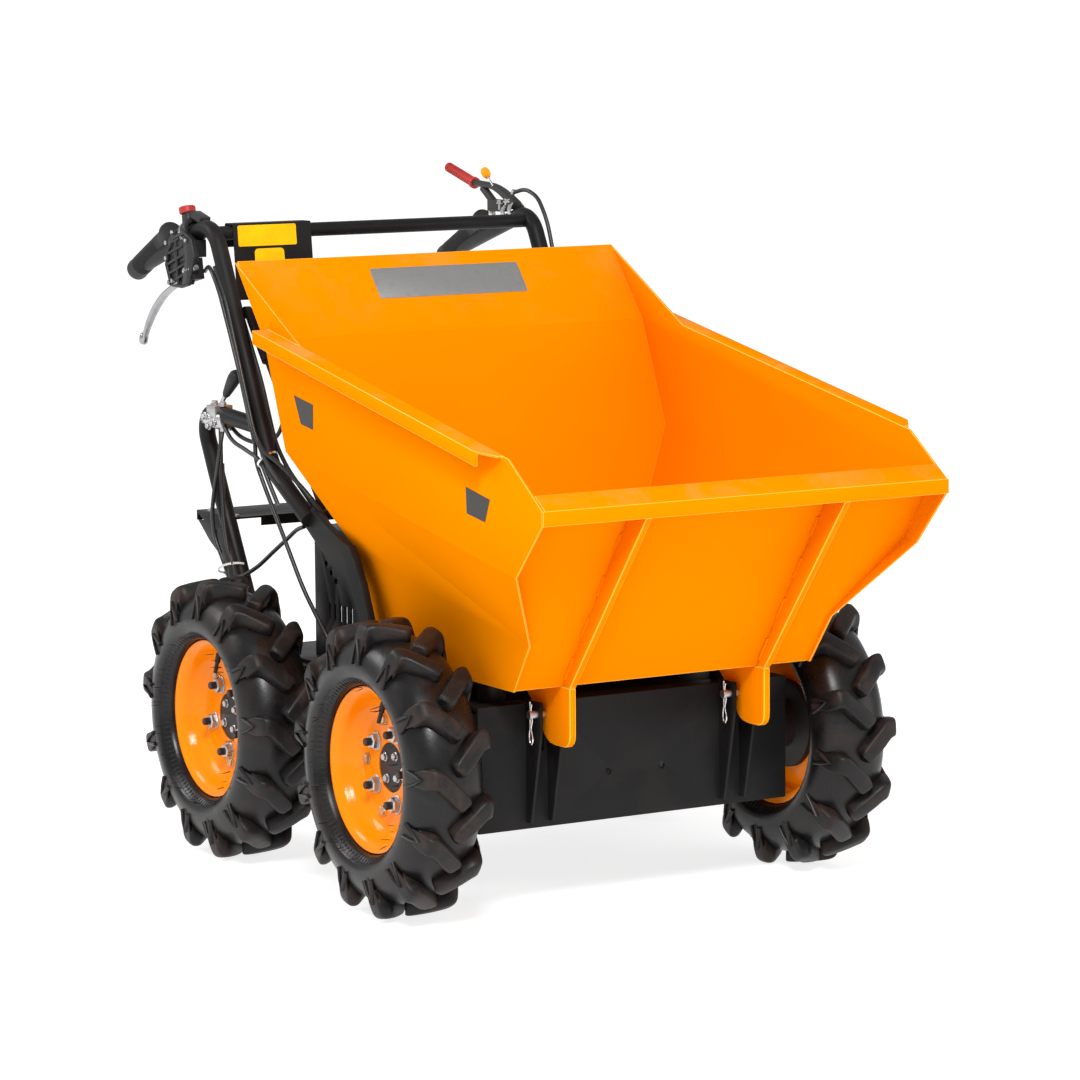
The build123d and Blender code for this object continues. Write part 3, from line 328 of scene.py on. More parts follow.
# shapes, drawn in millimetres
def flatFrame(origin, along, upward):
    # matrix whose X runs along, whose Z is the part of upward square to it
    x = Vector(along).normalized()
    z = (Vector(upward) - x * x.dot(Vector(upward))).normalized()
    turn = Matrix((x, z.cross(x), z)).transposed().to_4x4()
    return Matrix.Translation(Vector(origin)) @ turn


def slab(form, outline, frameOf, low, high):
    # plate with an outline in the frame's XY, from low to high along its Z
    bottom = [form.verts.new(frameOf @ Vector((u, v, low))) for u, v in outline]
    top = [form.verts.new(frameOf @ Vector((u, v, high))) for u, v in outline]
    form.faces.new(list(reversed(bottom)))
    form.faces.new(top)
    for i in range(len(outline)):
        j = (i + 1) % len(outline)
        form.faces.new((bottom[i], bottom[j], top[j], top[i]))


def block(form, frameOf, across, deep, tall):
    outline = ((across[0], deep[0]), (across[1], deep[0]), (across[1], deep[1]), (across[0], deep[1]))
    slab(form, outline, frameOf, *tall)


sideways = Matrix.Rotation(math.pi / 2, 4, "X")  # takes an outline in x and z; its Z runs to the right


def sidePlate(form, outline, low, high):
    # upright plate with an outline in x and z, from low to high in y
    slab(form, outline, sideways, -high, -low)


def turnsOf(count):
    # angles of even steps round a whole turn
    return [2 * math.pi * k / count for k in range(count)]


def lathe(form, profile, origin, axis, steps=48, closed=False):
    # (radius, along) points turned about an axis; an open profile starts and ends on it
    axis = Vector(axis).normalized()
    side = axis.orthogonal().normalized()
    other = axis.cross(side)
    origin = Vector(origin)
    rings = []
    for radius, along in profile:
        if radius == 0:
            rings.append([form.verts.new(origin + axis * along)])
            continue
        rings.append([
            form.verts.new(origin + axis * along + (side * math.cos(turn) + other * math.sin(turn)) * radius)
            for turn in turnsOf(steps)
        ])
    pairs = list(zip(rings, rings[1:])) + ([(rings[-1], rings[0])] if closed else [])
    for first, second in pairs:
        for k in range(steps):
            nextK = (k + 1) % steps
            if len(first) == 1:
                form.faces.new((first[0], second[nextK], second[k]))
            elif len(second) == 1:
                form.faces.new((first[k], first[nextK], second[0]))
            else:
                form.faces.new((first[k], first[nextK], second[nextK], second[k]))


def sweep(form, path, radius, sides=12, closed=False, flat=1.0, lead=None):
    # round (or flattened) bar along a path; radius is one number or one for each point
    points = [Vector(point) for point in path]
    count = len(points)
    radii = radius if isinstance(radius, (list, tuple)) else [radius] * count
    normal = Vector(lead) if lead else None
    rings = []
    for i, point in enumerate(points):
        if closed:
            tangent = (points[(i + 1) % count] - points[i - 1]).normalized()
        else:
            tangent = (points[min(i + 1, count - 1)] - points[max(i - 1, 0)]).normalized()
        normal = tangent.orthogonal() if normal is None else normal - tangent * normal.dot(tangent)
        normal.normalize()
        other = tangent.cross(normal)
        rings.append([
            form.verts.new(point + (normal * math.cos(turn) + other * math.sin(turn) * flat) * radii[i])
            for turn in turnsOf(sides)
        ])
    for first, second in list(zip(rings, rings[1:])) + ([(rings[-1], rings[0])] if closed else []):
        for k in range(sides):
            nextK = (k + 1) % sides
            form.faces.new((first[k], first[nextK], second[nextK], second[k]))
    if not closed:
        form.faces.new(list(reversed(rings[0])))
        form.faces.new(rings[-1])


def rounded(path, radius, steps=6):
    # corners of an open path rounded by arcs
    points = [Vector(point) for point in path]
    smooth = [points[0]]
    for before, corner, after in zip(points, points[1:], points[2:]):
        a, b = (before - corner), (after - corner)
        reach = min(radius, a.length * 0.45, b.length * 0.45)
        start, end = corner + a.normalized() * reach, corner + b.normalized() * reach
        for k in range(steps + 1):
            t = k / steps
            smooth.append(start * (1 - t) ** 2 + corner * 2 * t * (1 - t) + end * t ** 2)
    return smooth + [points[-1]]


def pin(form, place, axis, radius, low, high, steps):
    # plain round bar from low to high along its axis
    lathe(form, [(0, low), (radius, low), (radius, high), (0, high)], place, axis, steps)


def band(form, place, axis, inner, outer, half, steps=32):
    # plain ring
    lathe(form, [(inner, -half), (outer, -half), (outer, half), (inner, half)], place, axis, steps, True)


def hexBolt(form, place, outward, across=10.0, tall=5.0, washer=None):
    # domed hexagon head on an optional round washer
    frameOf = flatFrame(place, Vector(outward).orthogonal(), outward)
    base = 0.0
    if washer:
        lathe(form, [(0, -0.5), (washer, -0.5), (washer, 1.2), (washer - 0.5, 1.6), (0, 1.6)], place, outward, 20)
        base = 1.4
    reach = across / 2 / math.cos(math.pi / 6)
    rims = []
    for share, level in ((1.0, base), (1.0, base + tall * 0.8), (0.86, base + tall)):
        rims.append([
            form.verts.new(frameOf @ Vector((reach * share * math.cos(a), reach * share * math.sin(a), level)))
            for a in turnsOf(6)
        ])
    for first, second in zip(rims, rims[1:]):
        for k in range(6):
            form.faces.new((first[k], first[(k + 1) % 6], second[(k + 1) % 6], second[k]))
    form.faces.new(list(reversed(rims[0])))
    form.faces.new(rims[-1])


def flattenModifiers(piece):
    graph = bpy.context.evaluated_depsgraph_get()
    mesh = bpy.data.meshes.new_from_object(piece.evaluated_get(graph))
    piece.modifiers.clear()
    old, piece.data = piece.data, mesh
    bpy.data.meshes.remove(old)


def softenEdges(piece, width, angle, material=-1):
    # two-step bevel of the edges sharper than an angle; material is the slot of the new strip
    trim = piece.modifiers.new("edges", "BEVEL")
    trim.width = width * mm
    trim.segments = 2
    trim.limit_method = "ANGLE"
    trim.angle_limit = math.radians(angle)
    trim.material = material
    flattenModifiers(piece)


def shade(mesh, angle):
    mesh.polygons.foreach_set("use_smooth", [True] * len(mesh.polygons))
    mesh.set_sharp_from_angle(angle=math.radians(angle))


def linkForm(name, form, materials, inMillimetres=True):
    mesh = bpy.data.meshes.new(name)
    form.to_mesh(mesh)
    form.free()
    if inMillimetres:
        mesh.transform(Matrix.Scale(mm, 4))
    for material in materials:
        mesh.materials.append(material)
    piece = bpy.data.objects.new(name, mesh)
    scene.collection.objects.link(piece)
    return piece


def settle(piece, body, replaced=()):
    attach(piece, body)
    if replaced:
        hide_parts(*replaced)
    return piece


softenFrom = {"drawn": 30, "node": 40}  # degrees


def makePiece(name, form, slot, finish=None, replaced=(), angle=35, bevel=0.0, body="root"):
    bmesh.ops.recalc_face_normals(form, faces=form.faces)
    piece = linkForm(name, form, [finish or finishes[slot]])
    if bevel:
        softenEdges(piece, bevel, softenFrom["drawn"])
    shade(piece.data, angle)
    return settle(piece, body, replaced)


def dressed(name, nodeNames, bevel=0.8, edge=None, angle=35):
    # a merged copy of CAD nodes with softened edges; the optional second finish on the softened strip is a painted
    # highlight, a lighter paint along the edges
    slot = slotOf[nodeNames[0]]
    form = bmesh.new()
    for nodeName in nodeNames:
        form.from_mesh(nodes[nodeName].data)
    bmesh.ops.remove_doubles(form, verts=form.verts, dist=1e-6)
    bmesh.ops.dissolve_limit(form, angle_limit=math.radians(0.6), verts=form.verts, edges=form.edges)
    for face in form.faces:
        face.material_index = 0
    piece = linkForm(name, form, [finishes[slot]] + ([edge] if edge else []), False)
    if bevel:
        softenEdges(piece, bevel, softenFrom["node"], 1 if edge else -1)
    shade(piece.data, angle)
    return settle(piece, nodes[nodeNames[0]]["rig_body"], nodeNames)


# trees that repeat a small drawn shape
class RepeatTree(Board):
    def __init__(self, name, inputs):
        self.group = bpy.data.node_groups.new(name, "GeometryNodeTree")
        super().__init__(self.group)
        self.group.interface.new_socket("Geometry", in_out="OUTPUT", socket_type="NodeSocketGeometry")
        self.entry = self.group.nodes.new("NodeGroupInput")
        self.exit = self.group.nodes.new("NodeGroupOutput")
        self.keys = {}
        for key, kind in (("Shape", "Geometry"), *inputs, ("Finish", "Material")):
            socket = self.group.interface.new_socket(key, in_out="INPUT", socket_type="NodeSocket" + kind)
            self.keys[key] = socket.identifier

    def given(self, key):
        return Wire(self, self.entry.outputs[key])

    def close(self, points, rotation, size=None, offset=None):
        values = {"Points": points, "Instance": self.given("Shape"), "Rotation": rotation}
        if size:
            values["Scale"] = size
        spread = self.node("GeometryNodeInstanceOnPoints", None, values)
        real = self.node("GeometryNodeRealizeInstances", None, [spread])
        if offset:
            real = self.node("GeometryNodeTransform", None, {"Geometry": real, "Translation": offset})
        finished = self.node("GeometryNodeSetMaterial", None, {"Geometry": real, "Material": self.given("Finish")})
        self.tree.links.new(finished.socket, self.exit.inputs[0])
        return self

    def euler(self, x, y, z):
        turn = self.node("ShaderNodeCombineXYZ", None, [x, y, z])
        return self.node("FunctionNodeEulerToRotation", None, [turn])


def makeRingTree():
    # copies turned about the Y axis through a centre
    tree = RepeatTree("ringOfCopies", (("Copies", "Int"), ("Start", "Float"), ("Centre", "Vector")))
    points = tree.node("GeometryNodePoints", None, {"Count": tree.given("Copies")})
    index = tree.node("GeometryNodeInputIndex")
    angle = index * (2 * math.pi) / tree.given("Copies") + tree.given("Start")
    return tree.close(points, tree.euler(0.0, angle, 0.0), offset=tree.given("Centre"))


def makeRowTree():
    # copies set out by a constant step, all turned the same way
    tree = RepeatTree("rowOfCopies", (("Copies", "Int"), ("First", "Vector"), ("Step", "Vector"), ("Turn", "Vector")))
    points = tree.node("GeometryNodePoints", None, {"Count": tree.given("Copies")})
    index = tree.node("GeometryNodeInputIndex")
    stepped = tree.node("ShaderNodeVectorMath", {"operation": "SCALE"}, {"Vector": tree.given("Step"), "Scale": index})
    place = tree.node("ShaderNodeVectorMath", {"operation": "ADD"}, [stepped, tree.given("First")])
    moved = tree.node("GeometryNodeSetPosition", None, {"Geometry": points, "Position": place})
    return tree.close(moved, tree.node("FunctionNodeEulerToRotation", None, [tree.given("Turn")]))


def makePathTree():
    # copies along drawn edges, their Z along the path
    tree = RepeatTree("copiesOnPath", (("Path", "Object"), ("Spacing", "Float")))
    info = tree.node("GeometryNodeObjectInfo", None, {"Object": tree.given("Path")}, "Geometry")
    curve = tree.node("GeometryNodeMeshToCurve", None, [info])
    settings = {"mode": "LENGTH"}
    strewn = tree.node("GeometryNodeCurveToPoints", settings, {"Curve": curve, "Length": tree.given("Spacing")})
    rotation = Wire(tree, strewn.socket.node.outputs["Rotation"])
    return tree.close(strewn, rotation)


def makeStrewnTree():
    # copies at random angles round the Y axis, each tilted and sized by a fixed seed
    inputs = (
        ("Copies", "Int"), ("Radius", "Float"), ("Height", "Float"), ("Tilt", "Float"), ("Centre", "Vector"),
        ("Seed", "Int"),
    )
    tree = RepeatTree("strewnRound", inputs)
    points = tree.node("GeometryNodePoints", None, {"Count": tree.given("Copies")})

    def draw(low, high, shift):
        values = {2: low, 3: high, "Seed": tree.given("Seed") + shift}
        return tree.node("FunctionNodeRandomValue", {"data_type": "FLOAT"}, values, 1)

    angle = draw(0.0, 2 * math.pi, 0)
    away = tree.given("Radius") + draw(-0.0025, 0.0015, 1)
    x = tree.node("ShaderNodeMath", {"operation": "SINE"}, [angle]) * away
    z = tree.node("ShaderNodeMath", {"operation": "COSINE"}, [angle]) * away
    place = tree.node("ShaderNodeCombineXYZ", None, [x, tree.given("Height"), z])
    moved = tree.node("GeometryNodeSetPosition", None, {"Geometry": points, "Position": place})
    tilt = tree.given("Tilt")
    turn = tree.euler(draw(-1.0, 1.0, 2) * tilt, angle, draw(-1.0, 1.0, 3) * tilt)
    return tree.close(moved, turn, draw(0.4, 1.0, 4), tree.given("Centre"))


ringTree, rowTree, pathTree, strewnTree = makeRingTree(), makeRowTree(), makePathTree(), makeStrewnTree()


def repeated(name, form, tree, values, body, slot, finish=None, angle=35, subdivide=0):
    # the shape repeated by a tree, flattened to a plain mesh
    bmesh.ops.recalc_face_normals(form, faces=form.faces)
    piece = linkForm(name, form, [])
    shade(piece.data, angle)
    if subdivide:
        softening = piece.modifiers.new("softening", "SUBSURF")
        softening.levels = softening.render_levels = subdivide
    repeat = piece.modifiers.new("repeat", "NODES")
    repeat.node_group = tree.group
    for key, value in {**values, "Finish": finish or finishes[slot]}.items():
        repeat[tree.keys[key]] = value
    flattenModifiers(piece)
    return settle(piece, body)


print("shapes and trees ready")


# wheels: across is measured outwards from the tyre's middle
wheel = {
    "carcass": (
        (104.2, 24), (107, 27.2), (111.5, 29.4), (115.3, 31.2), (116.2, 34), (116.6, 37), (117.6, 40.5),
        (119.6, 44), (122.6, 46.6), (124.2, 49.4), (127.2, 51.2), (128.2, 53.4), (131, 54.6), (134.5, 55.9),
        (140, 56.9), (147, 56.2), (155, 54), (163, 50.2), (171, 45), (178, 37.5), (183, 28),
        (186.5, 16), (187.6, 0),
    ),
    "carcassTurns": 120,
    "bead": (103.6, 15),
    "lugs": 13,
    # across at left, around at left, across at right, around at right, height from the axle
    "lugStations": (
        (57, -21, 57, -15, 143), (56.6, -25, 56.6, -11.5, 152), (55.2, -28.5, 55.2, -8, 166),
        (52.4, -30.5, 52.4, -5.5, 181), (49.4, -31, 49.4, -4.5, 194.5), (46, -31, 46, -4.5, 201),
        (40, -31, 41.5, -4.5, 203.6), (31, -29.5, 35.5, -2.5, 204.3), (20, -18, 27.5, 7.5, 204.5),
        (4, -2.5, 13.5, 21.5, 204.5), (-10, 12, 4.5, 30.5, 204.4), (-13.5, 18, -2, 31, 203.4),
    ),
    "lugTopRadius": 204.8,
    "lugRound": 2.6,
    "lugDraft": 5,
    "lugSink": 7,
    "notchPath": ((-31, 149, 57.4), (-25, 166, 55.6), (-18, 181, 53.2), (-11, 166, 55.6), (-5, 149, 57.4)),
    "notchWidth": 3.4, "notchFlat": 0.7,
    "beadRibs": 104, "beadRibLine": ((118.6, 42.4), (121.8, 46.4), (126.4, 51.2)), "beadRibRadii": (0.5, 1.2, 0.5),
    "rim": (
        (34.5, 1), (52, 0.8), (76, 1), (82.5, 2.2), (88, 5.2), (92.5, 9.4), (96.2, 14.6), (98.6, 20.4),
        (100.6, 25.6), (103.6, 29.6), (107.6, 32.2), (111, 33.8), (113.4, 34.9), (114.7, 34.6), (115, 33.4),
        (113.8, 32), (109.5, 30.4), (105.6, 28), (103.2, 24.5), (103, 20), (103, -20), (103.2, -24.5),
        (105.6, -28), (109.5, -30.4), (114.8, -33.2), (114.6, -34.9), (111, -33.8), (105, -30.6),
        (101.4, -26), (100, -20), (99.4, 4), (93, 2.4), (86, -1.6), (34.5, -2),
    ),
    "rimTurns": 128,
    # ring radius, height off the rim, across flats, head height, washer radius, copies
    "fasteners": {
        "wheelNuts": (51.5, 1, 19, 9, 13.5, 5),
        "rimBolts": (67.5, 0.8, 12, 4, 8.6, 5),
        "hubBolts": (21, 0, 9, 4, 6.4, 4),
    },
    "stud": ((0, 2), (5.6, 2), (5.6, 18.5), (4.4, 20), (0, 20)),
    "starts": {"front": (71, 34), "rear": (51, 55)},  # degrees, of the nuts and of the rim bolts
    "hubTurn": 0.3,  # radians
    "whiskers": 46, "whiskerRing": 122, "whiskerAcross": 56.5, "whiskerTilt": 0.3,
    "whiskerLine": ((0, -2, 0), (0.6, 8, 0.3), (0, 16, -0.4)), "whiskerRadii": (0.6, 0.6, 0.12),
    "valveAcross": 22, "valveFoot": 97, "valveTip": 68, "valveLean": 0.08,
    "valveSteps": (0.45, 0.5), "valveRadii": (4.6, 4.2, 3, 3), "valveTurn": {"front": 78, "rear": 84},
    "hubEdge": 1.2,
}


def carcassHeight(across):
    # height of the carcass at a distance from the tyre's middle
    line = wheel["carcass"]
    for (r0, y0), (r1, y1) in zip(line, line[1:]):
        if y1 <= abs(across) <= y0 and r0 >= 140:
            return r0 + (r1 - r0) * (y0 - abs(across)) / (y0 - y1)
    return 140.0


def drawLug(form, side):
    # a lofted bar: each station is a section from one foot over the top to the other
    sections = []
    for acrossA, aroundA, acrossB, aroundB, top in wheel["lugStations"]:
        draft, rounding = wheel["lugDraft"], wheel["lugRound"]
        foot = min(top - 9.0, carcassHeight((acrossA + acrossB) / 2) - wheel["lugSink"])
        section = []
        for share, shift, height in (
            (0.0, -draft, foot), (0.0, -draft * 0.45, top - 8.0), (0.0, 0.0, top - rounding), (0.0, rounding, top),
            (0.5, 0.0, top + 0.3), (1.0, -rounding, top), (1.0, 0.0, top - rounding), (1.0, draft * 0.45, top - 8.0),
            (1.0, draft, foot),
        ):
            across = acrossA + (acrossB - acrossA) * share
            around = aroundA + (aroundB - aroundA) * share + shift
            height = min(max(height, foot), wheel["lugTopRadius"])
            turn = around / wheel["lugTopRadius"]
            inward = 0.0 if height > top - 6 else min(7.0, (top - height) * 0.35)
            if top < 190:  # on the sidewall the bar stands out from the wall, not from the tread
                across = across - (4.5 if shift in (-draft, draft) else 0.0)
                height = top
                inward = 0.0
            place = (height * math.cos(turn), side * (across - inward * 0.2), -height * math.sin(turn))
            section.append(form.verts.new(place))
        sections.append(section)
    for first, second in zip(sections, sections[1:]):
        for k in range(len(first) - 1):
            form.faces.new((first[k], first[k + 1], second[k + 1], second[k]))
        form.faces.new((first[-1], first[0], second[0], second[-1]))
    form.faces.new(list(reversed(sections[0])))
    form.faces.new(sections[-1])


def tyreProfile():
    # the whole tyre section as one closed loop, bead to bead and back under the rim
    upper = list(wheel["carcass"])
    radius, across = wheel["bead"]
    return [(radius, across)] + upper + [(r, -y) for r, y in reversed(upper[:-1])] + [(radius, -across)]


def makeWheel(place, sideName, side):
    body, label = f"wheel_{place}_{sideName}", f"_{place}_{sideName}"
    low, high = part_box("rim" + label)
    centre = tuple((a + b) / 2 for a, b in zip(low, high))  # metres
    middle = Vector(centre) / mm
    axis, facing = (0, 1, 0), (0, side, 0)

    def ring(name, form, copies, start, slot, finish=None, angle=35, subdivide=0):
        values = {"Centre": centre, "Copies": copies, "Start": start}
        repeated(name + label, form, ringTree, values, body, slot, finish, angle, subdivide)

    def bolts(name, start, finish=None):
        radius, height, across, tall, washer, copies = wheel["fasteners"][name]
        form = bmesh.new()
        hexBolt(form, (radius, side * height, 0), facing, across, tall, washer)
        ring(name, form, copies, start, "zinc_steel", finish)

    form = bmesh.new()
    lathe(form, tyreProfile(), middle, axis, wheel["carcassTurns"], True)
    makePiece("carcass" + label, form, "tyre_rubber", replaced=("tyre" + label,), angle=60, body=body)

    for bank, bankSide, start in (("Outer", side, 0.0), ("Inner", -side, math.pi / wheel["lugs"])):
        form = bmesh.new()
        drawLug(form, bankSide)
        ring("lugs" + bank, form, wheel["lugs"], start, "tyre_rubber", extras["lugDust"], 60, 1)
        form = bmesh.new()
        path = []
        for around, height, across in wheel["notchPath"]:
            turn = around / wheel["lugTopRadius"]
            path.append((height * math.cos(turn), bankSide * across, -height * math.sin(turn)))
        sweep(form, path, wheel["notchWidth"], 8, flat=wheel["notchFlat"])
        ring("wallRibs" + bank, form, wheel["lugs"], start, "tyre_rubber", extras["wallRubber"], 50)
        form = bmesh.new()
        line = [(radius, bankSide * across, 0) for radius, across in wheel["beadRibLine"]]
        sweep(form, line, wheel["beadRibRadii"], 6)
        ring("beadRibs" + bank, form, wheel["beadRibs"], 0.0, "tyre_rubber", extras["wallRubber"], 50)

    # moulding whiskers on the outer wall
    form = bmesh.new()
    sweep(form, [(x, side * y, z) for x, y, z in wheel["whiskerLine"]], wheel["whiskerRadii"], 4)
    values = {
        "Centre": centre, "Copies": wheel["whiskers"], "Radius": wheel["whiskerRing"] * mm,
        "Height": side * wheel["whiskerAcross"] * mm, "Tilt": wheel["whiskerTilt"], "Seed": len(label),
    }
    repeated("rimWhiskers" + label, form, strewnTree, values, body, "tyre_rubber")

    # rim, hub and fasteners
    form = bmesh.new()
    lathe(form, [(r, side * y) for r, y in wheel["rim"]], middle, axis, wheel["rimTurns"], True)
    makePiece("rimBowl" + label, form, "rim_paint", replaced=("rim" + label,), angle=50, body=body)
    dressed("hubBody" + label, ("hub" + label,), wheel["hubEdge"])
    nutStart, boltStart = (-math.radians(turn) for turn in wheel["starts"][place])
    nutRing, nutCopies = wheel["fasteners"]["wheelNuts"][0], wheel["fasteners"]["wheelNuts"][-1]
    bolts("wheelNuts", nutStart)
    form = bmesh.new()
    lathe(form, wheel["stud"], (nutRing, 0, 0), facing, 14)
    ring("wheelStuds", form, nutCopies, nutStart, "zinc_steel", extras["darkStud"])
    bolts("rimBolts", boltStart, extras["rustyBolt"])
    bolts("hubBolts", nutStart + wheel["hubTurn"])

    form = bmesh.new()
    start = middle + Vector((0, side * wheel["valveAcross"], 0))
    turn = math.radians(wheel["valveTurn"][place])
    foot = start + Vector((math.cos(turn), 0, math.sin(turn))) * wheel["valveFoot"]
    tip = start + Vector((math.cos(turn), side * wheel["valveLean"], math.sin(turn))) * wheel["valveTip"]
    sweep(form, [foot, *(foot.lerp(tip, share) for share in wheel["valveSteps"]), tip], wheel["valveRadii"], 12)
    makePiece("valveStem" + label, form, "tyre_rubber", finishes["soft_rubber"], body=body)


for placeName in ("front", "rear"):
    for wheelSide, sign in (("right", -1), ("left", 1)):
        makeWheel(placeName, wheelSide, sign)
print("wheels made")


# tray
tray = {
    "sheetEdge": 0.9, "ribEdge": 1.4,
    "frontFoot": (429, 326), "frontTop": (624, 616), "sheet": 3,
    "ribAcross": 157, "ribHalf": 5,
    "stitches": ((0.05, 0.15), (0.27, 0.36), (0.48, 0.57), (0.69, 0.78), (0.88, 0.94)),
    "beadSize": (2.6, 1.9, 1.8), "beadPitch": 2.6,
    "stripes": (
        ((-35, 693), (22, 684), (21, 649), (-15, 654)),
        ((452, 611), (515, 600), (502, 569), (454, 576)),
    ),
    "stripeFace": -320, "stripeThick": 0.5,
    # the sheet's face is looked for within the reach, above the least height on the sheet
    "signFoot": (-126, 0, 764), "signTop": (-214, 0, 871), "signReach": 6, "signLeast": 20,
    "signAcross": (-110, 140), "signRise": (60, 114), "signCorner": 4, "signThick": 0.8, "signEdge": 0.2,
    "clipPins": (-184, 130), "clipX": 385, "clipTop": 301, "clipWire": 1.25,
    "clipLine": (
        (-2.2, 0), (-2.2, -14), (-2, -36), (-4.4, -44), (-4.6, -51), (-2.6, -57), (1.2, -59), (4.6, -54),
        (4.4, -48), (1.4, -40), (0.6, -35), (3.6, -28), (3.8, -22), (0.8, -14), (0.8, -9), (2.6, -3),
    ),
    "springFrom": (385, -137.5, 283), "springTurns": 4.5, "springReach": 12, "springRadius": 9.2, "springWire": 1.1,
}

# the softened edges of the tray sheets carry the painted highlight paint
for nodeName in ("tray_back", "tray_floor", "tray_front", "tray_side_left", "tray_side_right"):
    dressed("sheet_" + nodeName, (nodeName,), tray["sheetEdge"], extras["edgeHighlightPaint"])

# the ribs run down into rounded hooks that hang on the hinge pins
hook = {
    "cut": 326.3,
    "line": (
        (315.4, 326.3), (361.5, 286), (360, 276), (361, 268), (366, 263.4), (377, 263), (381.5, 255), (389, 248.6),
        (398, 244.6), (410, 243.2), (434, 243.2), (441, 244.6), (447, 249), (450.2, 255.4), (451, 263), (451, 326.3),
    ),
}


def makeRib(side, sideName):
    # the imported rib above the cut, with a hook of its own below
    form = bmesh.new()
    form.from_mesh(nodes["tray_rib_" + sideName].data)
    bmesh.ops.transform(form, matrix=Matrix.Scale(1 / mm, 4), verts=form.verts)
    bmesh.ops.remove_doubles(form, verts=form.verts, dist=1e-3)
    geometry = form.verts[:] + form.edges[:] + form.faces[:]
    level = (0, 0, hook["cut"])
    cut = bmesh.ops.bisect_plane(form, geom=geometry, plane_co=level, plane_no=(0, 0, 1), clear_inner=True)
    rim = [edge for edge in cut["geom_cut"] if isinstance(edge, bmesh.types.BMEdge)]
    bmesh.ops.edgeloop_fill(form, edges=rim)
    middle = side * tray["ribAcross"]
    sidePlate(form, hook["line"], middle - tray["ribHalf"], middle + tray["ribHalf"])
    bmesh.ops.dissolve_limit(form, angle_limit=math.radians(0.6), verts=form.verts, edges=form.edges)
    piece = makePiece("rib_" + sideName, form, "tray_paint", replaced=("tray_rib_" + sideName,), body="tray")
    # painted highlight: the rib's softened edges get the lighter edge paint
    piece.data.materials.append(extras["edgeHighlightPaint"])
    softenEdges(piece, tray["ribEdge"], softenFrom["node"], 1)
    shade(piece.data, 35)


makeRib(-1, "right")
makeRib(1, "left")


def pathObject(lines):
    # loose edges for a tree to follow, in metres
    mesh = bpy.data.meshes.new("path")
    points = [Vector(point) * mm for line in lines for point in line]
    edges = [(2 * k, 2 * k + 1) for k in range(len(lines))]
    mesh.from_pydata(points, edges, [])
    path = bpy.data.objects.new("path", mesh)
    scene.collection.objects.link(path)
    return path


def weldBeads(name, lines, body, slot, finish=None):
    # overlapping ripples of a weld, one flattened bead at each step
    form = bmesh.new()
    bmesh.ops.create_icosphere(form, subdivisions=2, radius=1.0)
    bmesh.ops.scale(form, vec=Vector(tray["beadSize"]), verts=form.verts)
    path = pathObject(lines)
    values = {"Path": path, "Spacing": tray["beadPitch"] * mm}
    made = repeated(name, form, pathTree, values, body, slot, finish, 80)
    bpy.data.objects.remove(path)
    return made


def frontLine(share, lift=0.0):
    # point on the outer face of the front sheet, a share of the way up
    foot, top = Vector(tray["frontFoot"]), Vector(tray["frontTop"])
    along = (top - foot).normalized()
    point = foot.lerp(top, share) + Vector((along.y, -along.x)) * (tray["sheet"] + lift)
    return point.x, point.y


seams = []
for ribSide in (-1, 1):
    for flank in (-1, 1):
        across = ribSide * tray["ribAcross"] + flank * (tray["ribHalf"] + 0.4)
        for start, end in tray["stitches"]:
            (x0, z0), (x1, z1) = frontLine(start, 0.4), frontLine(end, 0.4)
            seams.append(((x0, across, z0), (x1, across, z1)))
weldBeads("ribWelds", seams, "tray", "tray_paint")

# blank stripes on the right side and a blank sign inside the back
form = bmesh.new()
for corners in tray["stripes"]:
    sidePlate(form, corners, tray["stripeFace"] - tray["stripeThick"], tray["stripeFace"])
makePiece("sideStripes", form, "tray_paint", extras["blackStripe"], body="tray")


def leaningFace(nodeName, foot, lean, reach, least):
    # frame on a sheet that leans in x and z, which way its Y climbs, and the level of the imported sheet's face
    face = flatFrame(foot, (0, 1, 0), Vector((lean.z, 0, -lean.x)))
    climb = 1.0 if (face @ Vector((0, 1, 0)) - face.translation).z > 0 else -1.0
    spots = [face.inverted() @ (vertex.co / mm) for vertex in nodes[nodeName].data.vertices]
    return face, climb, max(spot.z for spot in spots if abs(spot.z) < reach and climb * spot.y > least)


def roundedRect(x0, x1, y0, y1, radius, steps=5):
    corners = (
        (x1 - radius, y1 - radius, 0), (x0 + radius, y1 - radius, 90),
        (x0 + radius, y0 + radius, 180), (x1 - radius, y0 + radius, 270),
    )
    turns = [(x, y, math.radians(start + 90 * k / steps)) for x, y, start in corners for k in range(steps + 1)]
    return [(x + radius * math.cos(turn), y + radius * math.sin(turn)) for x, y, turn in turns]


lean = (Vector(tray["signTop"]) - Vector(tray["signFoot"])).normalized()
face, climb, level = leaningFace("tray_back", tray["signFoot"], lean, tray["signReach"], tray["signLeast"])
form = bmesh.new()
rises = sorted(climb * rise for rise in tray["signRise"])
slab(form, roundedRect(*tray["signAcross"], *rises, tray["signCorner"]), face, level, level + tray["signThick"])
makePiece("blankSign", form, "tray_paint", extras["greyPlate"], bevel=tray["signEdge"], body="tray")

# hairpin clips in the hinge pins
form = bmesh.new()
for across in tray["clipPins"]:
    line = [(tray["clipX"] + x, across, tray["clipTop"] + z) for x, z in tray["clipLine"]]
    sweep(form, rounded(line, 6.0, 4), tray["clipWire"], 8)
makePiece("hairpinClips", form, "zinc_steel", extras["springSteel"])

form = bmesh.new()
start = Vector(tray["springFrom"])
coil = []
for k in range(int(tray["springTurns"] * 16) + 1):
    turn = 2 * math.pi * k / 16
    reach = tray["springReach"] * k / (tray["springTurns"] * 16)
    coil.append(start + Vector((tray["springRadius"] * math.cos(turn), reach, tray["springRadius"] * math.sin(turn))))
sweep(form, coil, tray["springWire"], 6)
makePiece("hingeSpring", form, "zinc_steel")
print("tray dressed")


